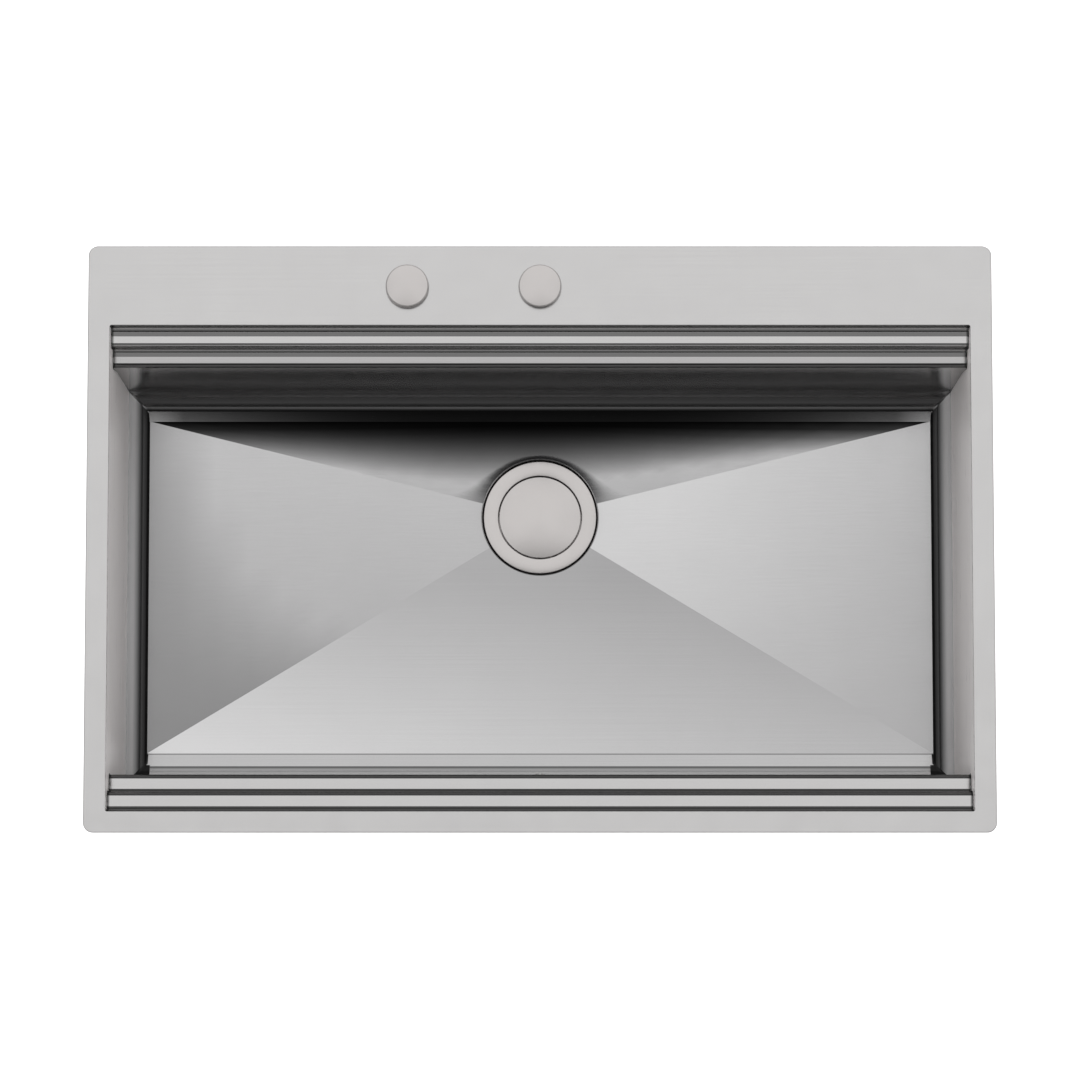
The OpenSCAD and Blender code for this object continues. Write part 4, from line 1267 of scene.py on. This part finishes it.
@dataclass(frozen=True)
class Thread:
    """A screw thread, drawn as rings.

    Attributes:
        radius: Radius over its ridges.
        depth: Depth of its grooves.
        pitch: Distance from ridge to ridge.
    """

    FOOT: ClassVar[float] = 0.1
    CREST: ClassVar[Pair] = (0.45, 0.65)

    radius: float
    depth: float
    pitch: float

    def profile(self, start: float, end: float) -> list[Pair]:
        """Returns the ridges as a profile of radius and height from start to end."""
        count = max(1, round(abs(end - start) / self.pitch))
        step = (end - start) / count
        root = self.radius - self.depth
        ridges = []
        for k in range(count):
            z = start + k * step
            ridges.append((root, z + self.FOOT * step))
            ridges += [(self.radius, z + share * step) for share in self.CREST]
        return [*ridges, (root, end)]


def plan_of(node: str) -> tuple[float, Pair]:
    """Returns the radius of a round node and its place in X and Y."""
    low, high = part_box(node)
    return (high.x - low.x) / 2, ((low.x + high.x) / 2, (low.y + high.y) / 2)


@dataclass
class Drain:
    """Strainer ring with its cup, and the flat cover.

    Attributes:
        steel: Thickness of ring and cup.
        cup: Inner radius of the cup.
        hub: Radius of the hole for the centre screw.
        holes: Count, pitch radius and radius of the cup's drain holes.
        peg: Radius of the peg under the cover.
        cover: Thickness of the cover.
        rim_ease: Radius of the ring's edges.
        seam_ease: Radius where the cup's floor meets its wall.
        hole_ease: Radius of the holes' edges.
        cover_ease: Radius of the cover's edges.
    """

    steel: float = 1.2 * MM
    cup: float = 38.15 * MM
    hub: float = 6.3 * MM
    holes: tuple[int, float, float] = (8, 20 * MM, 5.5 * MM)
    peg: float = 2.5 * MM
    cover: float = 1.5 * MM
    rim_ease: float = 0.45 * MM
    seam_ease: float = 0.05 * MM
    hole_ease: float = 0.3 * MM
    cover_ease: float = 0.5 * MM

    def ring(self, centre: Pair, finish: bpy.types.Material) -> bpy.types.Object:
        """Makes the flat ring and the perforated cup below it."""
        low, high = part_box("strainer_ring")
        wide, under, outer = (high.x - low.x) / 2, low.z, self.cup + self.steel
        profile = eased(
            [
                (self.cup, under), (self.cup, high.z), (wide, high.z), (wide, high.z - self.steel),
                (outer, high.z - self.steel), (outer, under), (self.cup, under),
            ],
            self.rim_ease,
            [1, 2],
        )
        stock = Stock()
        stock.turned(profile[:-1], centre, 128, closed=True)
        count, pitch, radius = self.holes
        loops: list[Outline] = [
            lambda step: circle_loop(centre, self.cup - step, 96),
            lambda step: circle_loop(centre, self.hub + step, 32),
        ]
        for k in range(count):
            a = 2 * math.pi * k / count
            at = (centre[0] + pitch * math.cos(a), centre[1] + pitch * math.sin(a))
            loops.append(lambda step, at=at: circle_loop(at, radius + step, 32))
        ease = [self.seam_ease, *[self.hole_ease] * (count + 1)]
        stock.plate(loops, under, under + self.steel, ease)
        return stock.make("strainer_ring_fine", finish)

    def lid(self, centre: Pair, finish: bpy.types.Material) -> bpy.types.Object:
        """Makes the flat cover with its rounded edge and peg."""
        low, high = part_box("drain_cover")
        wide, under = (high.x - low.x) / 2, high.z - self.cover
        corners = [(0, high.z), (wide, high.z), (wide, under), (self.peg, under)]
        profile = eased([*corners, (self.peg, low.z), (0, low.z)], self.cover_ease, [1, 2, 4])
        stock = Stock()
        stock.turned(profile, centre, 128)
        return stock.make("drain_cover_fine", finish)


@dataclass
class Caps:
    """The two round caps on the rear deck and the threaded parts that hold them.

    Attributes:
        ease: Radius of the caps' upper edges.
        stud: Thread of the cover's stud.
        neck: Plain length above that thread.
        tip: Plain length below it.
        bush: Thread of the control's bush.
        plain: Plain length above that thread.
        flange: Thickness of the bush's flange.
        flange_ease: Radius of the flange's edges.
        plunger: Radius of the bore that guides the plunger.
        gland: Radius of the cable socket.
        socket: Height of the cable socket.
        cable: Radius of the cable.
    """

    ease: float = 1.0 * MM
    stud: Thread = Thread(4 * MM, 0.5 * MM, 1.25 * MM)
    neck: float = 4 * MM
    tip: float = 0.6 * MM
    bush: Thread = Thread(16.8 * MM, 0.8 * MM, 2 * MM)
    plain: float = 7 * MM
    flange: float = 1.2 * MM
    flange_ease: float = 0.4 * MM
    plunger: float = 14.05 * MM
    gland: float = 5.5 * MM
    socket: float = 12 * MM
    cable: float = 2.55 * MM

    def disc(self, node: str, name: str, under: float, finish: bpy.types.Material) -> bpy.types.Object:
        """Makes a cap, with a threaded stud where the node reaches below it.

        Args:
            node: The CAD node it stands for.
            name: Name of the piece.
            under: Height of the cap's underside.
            finish: Its material.

        Returns:
            The cap.
        """
        low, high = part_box(node)
        wide, centre = plan_of(node)
        corners = [(0, high.z), (wide, high.z), (wide, under)]
        if under - low.z > MM:
            start = under - self.neck
            corners += [(self.stud.radius, under), (self.stud.radius, start)]
            corners += self.stud.profile(start, low.z + self.tip)
        corners.append((0, low.z))
        stock = Stock()
        stock.turned(eased(corners, self.ease, [1]), centre, 112)
        return stock.make(name, finish)

    def threaded_bush(self, finish: bpy.types.Material) -> bpy.types.Object:
        """Makes the control's bush with its flange, thread and cable socket."""
        low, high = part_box("control_bush")
        wide, centre = plan_of("control_bush")
        foot, seat = low.z + self.socket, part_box("return_spring")[0].z
        under, radius = high.z - self.flange, self.bush.radius
        corners = [(self.plunger, seat), (self.plunger, high.z), (wide, high.z), (wide, under)]
        corners += [(radius, under), (radius, under - self.plain)]
        corners += self.bush.profile(under - self.plain, foot + MM)
        corners += [(radius - MM, foot), (self.gland, foot), (self.gland, low.z)]
        corners += [(self.cable, low.z), (self.cable, seat)]
        profile = eased([*corners, corners[0]], self.flange_ease, [2, 3])[:-1]
        stock = Stock()
        stock.turned(profile, centre, 80, closed=True)
        return stock.make("control_bush_fine", finish)


@dataclass
class Outlet:
    """Cone and threaded outlet of the waste.

    Attributes:
        bore: Radius of the outlet's bore.
        thread: Its outer thread, with 11 turns an inch.
        wall: Thickness of the cone's wall.
        cone: Height of the cone.
        shoulder: Width of the step above the thread.
        collar: Height of the plain collar above the thread.
        chamfer: Depth of the chamfer at the outlet's end.
        ease: Radius of the cone's edges.
    """

    bore: float = 20.4 * MM
    thread: Thread = Thread(23.9 * MM, 1.3 * MM, 2.309 * MM)
    wall: float = 3 * MM
    cone: float = 14 * MM
    shoulder: float = 3 * MM
    collar: float = 5 * MM
    chamfer: float = 1.6 * MM
    ease: float = 0.8 * MM

    def tail(self, centre: Pair, finish: bpy.types.Material) -> bpy.types.Object:
        """Makes the cone with its threaded outlet."""
        low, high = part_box("waste_tail")
        rim, foot, wide = (high.x - low.x) / 2, high.z - self.cone, self.thread.radius
        cone = [(rim, high.z), (rim, high.z - self.wall), (wide + self.shoulder, foot), (wide, foot)]
        inside = [(self.bore, foot + self.wall), (rim - self.wall, high.z)]
        screw = [(wide, foot - self.collar), *self.thread.profile(foot - self.collar, low.z + MM)]
        screw += [(wide - self.chamfer, low.z), (self.bore, low.z)]
        profile = [flat_vector(*corner) for corner in inside]
        profile += eased(cone, self.ease, (1, 2))
        profile += [flat_vector(*corner) for corner in screw]
        stock = Stock()
        stock.turned(profile, centre, 96, closed=True)
        return stock.make("waste_tail_fine", finish)


# ---- pieces made by Geometry Nodes ----


class Weave:
    """Builds one Geometry Nodes tree and applies it to an object.

    Args:
        name: Name of the tree.
        inputs: Names and socket kinds of its inputs, after the geometry.
    """

    def __init__(self, name: str, **inputs: str) -> None:
        """Makes the tree with its sockets."""
        self.tree = bpy.data.node_groups.new(name, "GeometryNodeTree")
        face = self.tree.interface
        face.new_socket("Geometry", in_out="INPUT", socket_type="NodeSocketGeometry")
        self.sockets = {
            key: face.new_socket(key, in_out="INPUT", socket_type="NodeSocket" + kind)
            for key, kind in inputs.items()
        }
        face.new_socket("Geometry", in_out="OUTPUT", socket_type="NodeSocketGeometry")
        self.source = self.tree.nodes.new("NodeGroupInput")
        self.out = self.tree.nodes.new("NodeGroupOutput")

    def input(self, name: str) -> bpy.types.NodeSocket:
        """Returns the output of one named input of the tree."""
        return self.source.outputs[name]

    def add(self, kind: str, operation: str = "", **inputs: object) -> bpy.types.Node:
        """Adds a node.

        Args:
            kind: Blender's full name of the node type.
            operation: Operation of a Math node.
            inputs: Its inputs, as fill takes them.

        Returns:
            The new node.
        """
        node = self.tree.nodes.new(kind)
        if operation:
            node.operation = operation
        fill(node, self.tree.links, inputs)
        return node

    def maths(self, operation: str, a: object, b: object = 0.0) -> bpy.types.NodeSocket:
        """Adds a Math node and returns its output."""
        return self.add("ShaderNodeMath", operation, i0=a, i1=b).outputs[0]

    def close(self, geometry: bpy.types.NodeSocket) -> None:
        """Ends the tree in Realize Instances and Set Material."""
        real = self.add("GeometryNodeRealizeInstances", Geometry=geometry)
        painted = self.add(
            "GeometryNodeSetMaterial", Geometry=real.outputs[0], Material=self.input("Finish")
        )
        self.tree.links.new(painted.outputs[0], self.out.inputs[0])

    def apply(self, item: bpy.types.Object, name: str, **values: object) -> bpy.types.Object:
        """Runs the tree on an object and keeps the result as a plain mesh.

        Args:
            item: The object that the tree starts from; it is removed.
            name: Name of the new piece.
            values: Values of the tree's inputs.

        Returns:
            The new piece.
        """
        modifier = item.modifiers.new(self.tree.name, "NODES")
        modifier.node_group = self.tree
        for key, value in values.items():
            modifier[self.sockets[key].identifier] = value
        graph = bpy.context.evaluated_depsgraph_get()
        graph.update()
        mesh = bpy.data.meshes.new_from_object(item.evaluated_get(graph), depsgraph=graph)
        item.modifiers.remove(modifier)
        bpy.data.objects.remove(item)
        mesh.name = name
        piece = bpy.data.objects.new(name, mesh)
        bpy.context.scene.collection.objects.link(piece)
        return piece


def points_object(name: str, points: Sequence[Vector], joined: bool) -> bpy.types.Object:
    """Makes a bare object of points, joined into a line or loose."""
    mesh = bpy.data.meshes.new(name)
    edges = [(i, i + 1) for i in range(len(points) - 1)] if joined else []
    mesh.from_pydata([tuple(p) for p in points], edges, [])
    item = bpy.data.objects.new(name, mesh)
    bpy.context.scene.collection.objects.link(item)
    return item


@dataclass
class Hose:
    """Corrugated overflow hose from the elbow to the waste body.

    Attributes:
        radius: Outer radius of its ribs.
        depth: Depth of the grooves between them.
        pitch: Distance from rib to rib.
        bend: Bend radius of its middle line.
        cuff: Length of the plain cuff at each end.
        sides: Straight sides of its section.
        cuts: Rings to a rib.
    """

    BEND_STEPS: ClassVar[int] = 16

    radius: float = 11 * MM
    depth: float = 1.7 * MM
    pitch: float = 4.6 * MM
    bend: float = 40 * MM
    cuff: float = 19 * MM
    sides: int = 28
    cuts: float = 8.0

    def route(self) -> list[Vector]:
        """Returns the middle line, straight down, round one bend and back to the body."""
        low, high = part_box("overflow_hose")
        x, y, z = (low.x + high.x) / 2, low.y + self.radius, low.z + self.radius
        points = [Vector((x, y, high.z)), Vector((x, y, (high.z + z + self.bend) / 2))]
        for out, up in quarter_arc(self.BEND_STEPS):
            points.append(Vector((x, y + self.bend * out, z + self.bend * up)))
        return [*points, Vector((x, high.y, z))]

    def make(self, finish: bpy.types.Material) -> bpy.types.Object:
        """Makes the hose by sweeping a circle whose size follows the ribs."""
        tree = Weave(
            "ribbed hose", Radius="Float", Depth="Float", Pitch="Float", Cuff="Float", Finish="Material"
        )
        line = tree.add("GeometryNodeMeshToCurve", Mesh=tree.source.outputs["Geometry"])
        fine = tree.add("GeometryNodeResampleCurve", Curve=line.outputs[0])
        fine.mode = "LENGTH"
        cut = tree.maths("DIVIDE", tree.input("Pitch"), self.cuts)
        tree.tree.links.new(cut, fine.inputs["Length"])
        along = tree.add("GeometryNodeSplineParameter").outputs["Length"]
        total = tree.add("GeometryNodeSplineLength").outputs["Length"]
        turns = tree.maths("MULTIPLY", tree.maths("DIVIDE", along, tree.input("Pitch")), 2 * math.pi)
        dip = tree.maths("MULTIPLY_ADD", tree.maths("COSINE", turns), -0.5)
        dip.node.inputs[2].default_value = 0.5
        ends = tree.maths("MINIMUM", along, tree.maths("SUBTRACT", total, along))
        ribbed = tree.maths("GREATER_THAN", ends, tree.input("Cuff"))
        groove = tree.maths("MULTIPLY", tree.maths("MULTIPLY", dip, ribbed), tree.input("Depth"))
        size = tree.maths("SUBTRACT", tree.input("Radius"), groove)
        section = tree.add("GeometryNodeCurvePrimitiveCircle", Resolution=self.sides, Radius=1.0)
        swept = tree.add(
            "GeometryNodeCurveToMesh", Curve=fine.outputs[0], Profile_Curve=section.outputs[0], Scale=size
        )
        swept.inputs["Fill Caps"].default_value = True
        tree.close(tree.add("GeometryNodeSetShadeSmooth", Geometry=swept.outputs[0]).outputs[0])
        spine = points_object("hose_line", self.route(), joined=True)
        return tree.apply(
            spine, "overflow_hose_fine",
            Radius=self.radius, Depth=self.depth, Pitch=self.pitch, Cuff=self.cuff, Finish=finish,
        )


@dataclass
class Clips:
    """Screws of the six fixing clips.

    Attributes:
        shank: Thread of a screw.
        neck: Plain length above that thread.
        head: Radius and height of a screw's head.
        head_ease: Radius of the head's upper edge.
        drive: Radius and height of its hexagonal end.
        chamfer: Height of the chamfer at that end, and its radius's share there.
    """

    COUNT: ClassVar[int] = 6

    shank: Thread = Thread(2.5 * MM, 0.4 * MM, 0.8 * MM)
    neck: float = 3 * MM
    head: Pair = (4.25 * MM, 3 * MM)
    head_ease: float = 0.9 * MM
    drive: Pair = (4.5 * MM, 4 * MM)
    chamfer: Pair = (0.5 * MM, 0.86)

    def places(self) -> list[Vector]:
        """Returns the plan place of each screw, read from the nuts."""
        plans = [plan_of(f"clip_nut_{i}")[1] for i in range(1, self.COUNT + 1)]
        return [Vector((x, y, 0.0)) for x, y in plans]

    def screw(self, finish: bpy.types.Material) -> bpy.types.Object:
        """Makes one screw about the Z axis."""
        low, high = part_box("clip_screws")
        under, end = high.z - self.head[1], low.z + self.drive[1]
        start, shank = under - self.neck, self.shank.radius
        corners = [(0, high.z), (self.head[0], high.z), (self.head[0], under), (shank, under), (shank, start)]
        corners += [*self.shank.profile(start, end), (0, end)]
        stock = Stock()
        stock.turned(eased(corners, self.head_ease, [1]), (0, 0), 20)
        sides = circle_loop((0, 0), self.drive[0], 6)
        height, share = self.chamfer
        foot = stock.level([p * share for p in sides], low.z)
        rings = [foot, stock.level(sides, low.z + height), stock.level(sides, end)]
        stock.loft(rings)
        stock.cap(rings[0])
        stock.cap(rings[-1])
        return stock.make("clip_screw_pattern", finish, 30.0)

    def screws(self, finish: bpy.types.Material) -> bpy.types.Object:
        """Sets one screw at each place."""
        tree = Weave("clip screws", Screw="Object", Finish="Material")
        info = tree.add("GeometryNodeObjectInfo", Object=tree.input("Screw"))
        info.inputs["As Instance"].default_value = True
        places = tree.source.outputs["Geometry"]
        row = tree.add("GeometryNodeInstanceOnPoints", Points=places, Instance=info.outputs["Geometry"])
        tree.close(row.outputs[0])
        pattern = self.screw(finish)
        spots = points_object("clip_places", self.places(), joined=False)
        piece = tree.apply(spots, "clip_screws_fine", Screw=pattern, Finish=finish)
        bpy.data.objects.remove(pattern)
        return piece


@dataclass
class Pads:
    """Sound-deadening pads on the outside of the walls and under the floor.

    Attributes:
        thick: Thickness of a pad.
        height: Height of the pads on the walls.
        length: Length of the shorter pads.
        corner: Radius of their corners.
        under_width: Width of the pads under the floor.
        ease: Radius of their outer edges.
        back_off: How far in front of the drain the pads under the floor lie.
        rim_gap: Distance of those pads from the floor's ends.
    """

    thick: float = 2.5 * MM
    height: float = 80 * MM
    length: float = 180 * MM
    corner: float = 7 * MM
    under_width: float = 90 * MM
    ease: float = 0.9 * MM
    back_off: float = 30 * MM
    rim_gap: float = 20 * MM

    def pad(self, stock: Stock, wide: float, deep: float, place: Matrix) -> None:
        """Adds one pad.

        Args:
            stock: The mesh it goes into.
            wide: Its length.
            deep: Its width.
            place: Where its hidden face's centre goes, with its outer face towards +Z.
        """
        own = Stock()
        low, high = (-wide / 2, -deep / 2), (wide / 2, deep / 2)
        own.plate([lambda step: rect_loop(low, high, self.corner, step, 5)], 0.0, self.thick, [self.ease])
        mesh = bpy.data.meshes.new("pad")
        own.bm.to_mesh(mesh)
        own.bm.free()
        mesh.transform(place)
        stock.bm.from_mesh(mesh)
        bpy.data.meshes.remove(mesh)

    def make(self, basin: Basin, finish: bpy.types.Material) -> bpy.types.Object:
        """Makes all seven pads.

        Args:
            basin: The folded steel that they lie on.
            finish: Their material.

        Returns:
            The pads as one piece.
        """
        stock = Stock()
        mid = (basin.ledge_z[1] + basin.seam) / 2
        centre = (basin.front_wall + basin.rear_wall) / 2
        turns = {"front": 0.0, "rear": math.pi, "left": -QUARTER, "right": QUARTER}

        def on_wall(side: str, wide: float, x: float, y: float) -> None:
            """Adds a pad to one wall."""
            upright = Matrix.Rotation(turns[side], 4, "Z") @ Matrix.Rotation(QUARTER, 4, "X")
            self.pad(stock, wide, self.height, Matrix.Translation((x, y, mid)) @ upright)

        on_wall("rear", 2 * self.length, 0, basin.rear_wall + basin.sheet)
        slope = math.atan(basin.fall / basin.rim_x)
        foot = (0, basin.drain[1] - self.back_off, basin.floor - basin.sheet - basin.fall)
        reach = basin.rim_x - self.length / 2 - self.rim_gap
        for way, side in ((-1, "left"), (1, "right")):
            on_wall("front", self.length, way * self.length, basin.front_wall - basin.sheet)
            on_wall(side, self.length, way * (basin.half + basin.sheet), centre)
            place = Matrix.Translation(foot) @ Matrix.Rotation(-way * slope, 4, "Y")
            place @= Matrix.Translation((way * reach, 0, 0)) @ Matrix.Rotation(math.pi, 4, "X")
            self.pad(stock, self.length, self.under_width, place)
        return stock.make("sound_pads_fine", finish)


# ---- studio ----


@dataclass
class Studio:
    """Camera, world and floor.

    The world gives gloss another light than matt surfaces. Slopes are measured from straight up.

    Attributes:
        eye: Place of the camera.
        aim: Point that it looks at.
        lens: Focal length in millimetres.
        sky: Strength of the even light on matt surfaces.
        flanks: What the light from the left and the right adds to it.
        flank_side: Slopes between which it comes up.
        panel: Strength of the soft panel that gloss shows.
        panel_front: Slopes between which the panel begins, towards the rear.
        panel_back: Slopes between which it ends.
        panel_side: Slopes between which it ends left and right.
        dim: Strength of the dark surroundings that gloss shows.
        ring: Strength of the dimmer light all round the panel.
        ring_height: Heights of the view's direction between which the ring comes up.
        horizon: Strength of the pale band above the horizon.
        horizon_height: Heights of the view's direction between which that band comes up.
        floor_glow: Glow of the floor to the camera, and to gloss.
        floor_size: Half of the floor's width.
        floor_gap: Distance of the floor below the sink.
    """

    SENSOR: ClassVar[float] = 36.0
    CLIP: ClassVar[Pair] = (0.1, 60.0)
    LEAST_HEIGHT: ClassVar[float] = 0.02

    eye: Vector = field(default_factory=lambda: Vector((0.0, -0.373, 3.772)))
    aim: Vector = field(default_factory=lambda: Vector((0.0, -0.0022, 0.0022)))
    lens: float = 146.0
    sky: float = 0.9
    flanks: float = 0.3
    flank_side: Pair = (0.3, 1.0)
    panel: float = 0.97
    panel_front: Pair = (-0.16, -0.06)
    panel_back: Pair = (0.8, 0.6)
    panel_side: Pair = (0.45, 0.3)
    dim: float = 0.05
    ring: float = 0.42
    ring_height: Pair = (0.93, 0.74)
    horizon: float = 0.5
    horizon_height: Pair = (0.35, 0.05)
    floor_glow: Pair = (0.84, 0.28)
    floor_size: float = 9.0
    floor_gap: float = 0.5 * MM

    def camera(self) -> None:
        """Sets the camera where the photograph was taken from."""
        data = bpy.data.cameras.new("camera")
        data.sensor_width, data.lens = self.SENSOR, self.lens
        data.clip_start, data.clip_end = self.CLIP
        camera = bpy.data.objects.new("camera", data)
        bpy.context.scene.collection.objects.link(camera)
        camera.location = self.eye
        camera.rotation_euler = (self.aim - self.eye).to_track_quat("-Z", "Y").to_euler()
        bpy.context.scene.camera = camera

    def world(self) -> None:
        """Makes the light: even for matt surfaces, a panel with a ring for gloss, white to the camera."""
        world = bpy.data.worlds.new("studio")
        bpy.context.scene.world = world
        world.use_nodes = True
        r = Recipe.of(world.node_tree)
        view = r.add("SeparateXYZ", Vector=r.add("TexCoord").outputs["Generated"])
        up = view.outputs["Z"]
        height = r.maths("MAXIMUM", up, self.LEAST_HEIGHT)
        side = r.maths("ABSOLUTE", r.maths("DIVIDE", view.outputs["X"], height))
        back = r.maths("DIVIDE", view.outputs["Y"], height)
        slopes = ((side, self.panel_side), (back, self.panel_front), (back, self.panel_back))
        panel = r.maths("MULTIPLY", *[r.step(way, *span) for way, span in slopes], self.panel)
        low = r.maths("MULTIPLY", r.step(up, *self.horizon_height), self.horizon)
        ring = r.maths("MULTIPLY", r.step(up, *self.ring_height), self.ring)
        gloss = r.maths("ADD", r.maths("ADD", panel, low), r.maths("ADD", ring, self.dim))
        path = r.add("LightPath")
        shine = path.outputs["Is Glossy Ray"]
        sides = r.maths("ADD", r.maths("MULTIPLY", r.step(side, *self.flank_side), self.flanks), self.sky)
        even = r.maths("MULTIPLY", r.maths("SUBTRACT", 1.0, shine), sides)
        level = r.maths("ADD", r.maths("MULTIPLY", gloss, shine), even)
        level = r.maths("MAXIMUM", level, path.outputs["Is Camera Ray"])
        light = r.add("Background", Strength=level)
        light.inputs["Color"].default_value = (1.0, 1.0, 1.0, 1.0)
        r.add("OutputWorld", Surface=light.outputs[0])
        world.cycles.sampling_method = "NONE"

    def floor(self) -> None:
        """Makes the pale floor under the sink, near white to the camera and dimmer to gloss."""
        r = Recipe("pale_floor")
        seen = r.add("LightPath")
        view = r.maths("MAXIMUM", seen.outputs["Is Camera Ray"], seen.outputs["Is Transmission Ray"])
        view = r.maths("MULTIPLY", view, self.floor_glow[0])
        shine = r.maths("MULTIPLY", seen.outputs["Is Glossy Ray"], self.floor_glow[1])
        view = r.maths("MAXIMUM", view, shine)
        glow = r.add("Emission", Color=(1, 1, 1, 1), Strength=view)
        matt = r.add("BsdfDiffuse", Color=(0.8, 0.8, 0.8, 1))
        finish = r.close(r.add("AddShader", i0=glow.outputs[0], i1=matt.outputs[0]))
        stock = Stock()
        far = self.floor_size
        stock.cap(stock.level(rect_loop((-far, -far), (far, far), 0.5), CAD_BOX[0].z - self.floor_gap))
        stage = stock.make("floor_plane", finish)
        stage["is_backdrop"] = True


def build(basin: Basin) -> None:
    """Makes every piece and dresses every CAD node.

    Args:
        basin: The folded steel.
    """
    deck_steel = BrushedSteel("deck_steel", roughness=0.2).material()
    # the stepped walls read their painted shade and scatter from their attributes
    wall_steel = BrushedSteel("wall_steel", upright=True, roughness=0.15, toned=True).material()
    # painted reflection: a pale, mostly matt finish stands in for the light the side walls mirror, with
    # painted light towards their foot
    side_painted_reflection = BrushedSteel(
        "side_wall_painted_reflection",
        (0.87, 0.835, 0.825),
        0.3,
        grain=Grain.ALONG_Y,
        upright=True,
        metal=0.06,
        lift=(basin.high.z, basin.seam, 0.14),
        outside=basin.half + basin.sheet / 2,
    ).material()
    # the floor pan reads its painted shade and scatter from its attributes
    floor_steel = BrushedSteel("floor_steel", (0.596, 0.592, 0.595), roughness=0.15, toned=True).material()
    drain_steel, blank_steel, push_steel = (
        BrushedSteel(name, (0.585, 0.56, 0.55), 0.2, 0.45, Grain.TURNED, centre).material()
        for name, centre in (
            ("turned_drain_steel", basin.drain),
            ("turned_cap_steel", basin.taps[0]),
            ("turned_push_steel", basin.taps[1]),
        )
    )
    zinc = PlatedSteel("zinc_plate").material()
    bright = PlatedSteel("bright_fittings", (0.62, 0.61, 0.6), (0.56, 0.55, 0.54), 0.26).material()
    rubber = Moulded("black_rubber", (0.028, 0.028, 0.03), 0.62, 2200.0, 0.00002, 0.2).material()
    plastic = Moulded("moulded_plastic", (0.045, 0.047, 0.053), 0.42, 1700.0, 0.000012, 0.1).material()
    damping = Moulded("damping_pad", (0.085, 0.087, 0.095), 0.72, 420.0, 0.00022, 0.16).material()
    sheath = Moulded("cable_sheath", (0.03, 0.03, 0.033), 0.38, 900.0, 0.00002, 0.15).material()
    hose_plastic = Moulded("hose_plastic", (0.14, 0.145, 0.155), 0.45, 1300.0, 0.00001, 0.1).material()

    settle(basin.deck(deck_steel), "sink", "brushed_steel", "deck_plate")
    for node, edge, way in (("front_wall", basin.front, 1), ("rear_wall", basin.rear, -1)):
        settle(basin.stepped_wall(node + "_fine", edge, way, wall_steel), "sink", "brushed_steel", node)
    settle(basin.floor_pan(floor_steel), "sink", "brushed_steel", "floor_pan")
    dress(side_painted_reflection, "left_wall", "right_wall")

    drain = Drain()
    settle(drain.ring(basin.drain, drain_steel), "sink", "bright_steel", "strainer_ring")
    settle(drain.lid(basin.drain, drain_steel), "cover", "bright_steel", "drain_cover")
    dress(drain_steel, "strainer_basket")
    dress(bright, "lift_pin", "lever_pivot", "centre_screw", "overflow_plate", "overflow_screw")

    caps = Caps()
    blank_under, push_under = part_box("tap_cover_seal")[1].z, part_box("control_cap")[0].z
    blank = caps.disc("tap_hole_cover", "tap_hole_cover_fine", blank_under, blank_steel)
    settle(blank, "sink", "bright_steel", "tap_hole_cover")
    push = caps.disc("control_cap", "control_cap_fine", push_under, push_steel)
    settle(push, "button", "bright_steel", "control_cap")
    settle(caps.threaded_bush(push_steel), "sink", "bright_steel", "control_bush")
    dress(zinc, "control_nut", "return_spring", "tap_stiffener", "tap_cover_washer", "tap_cover_wing_nut")
    dress(rubber, "rim_seal", "control_gasket", "tap_cover_seal", "ring_gasket", "body_gasket", "plug_seal")
    dress(rubber, "overflow_gasket")
    dress(plastic, "control_plunger", "lift_lever", "lever_bracket", "waste_body", "waste_spider")
    dress(plastic, "overflow_elbow")

    settle(Outlet().tail(basin.drain, plastic), "sink", "grey_plastic", "waste_tail")
    settle(Hose().make(hose_plastic), "sink", "grey_plastic", "overflow_hose")
    dress(sheath, "control_cable")
    clips = Clips()
    dress(zinc, "hose_clips", "clip_brackets")
    for part in ("nut", "claw"):
        dress(zinc, *[f"clip_{part}_{i}" for i in range(1, clips.COUNT + 1)])
    settle(clips.screws(zinc), "sink", "zinc_steel", "clip_screws")
    settle(Pads().make(basin, damping), "sink", "pad", "sound_pads")


def main() -> None:
    """Builds the sink, the studio and the camera."""
    logging.basicConfig(level=logging.INFO, format="%(message)s", stream=sys.stdout)
    build(Basin())
    studio = Studio()
    studio.camera()
    studio.world()
    studio.floor()
    bpy.context.scene.view_settings.view_transform = "Standard"
    bpy.context.view_layer.update()
    boxes = [[list(corner) for corner in box] for box in (CAD_BOX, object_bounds())]
    "\n".join(json.dumps(box) for box in boxes) + "\n"


if __name__ == "__main__":
    main()
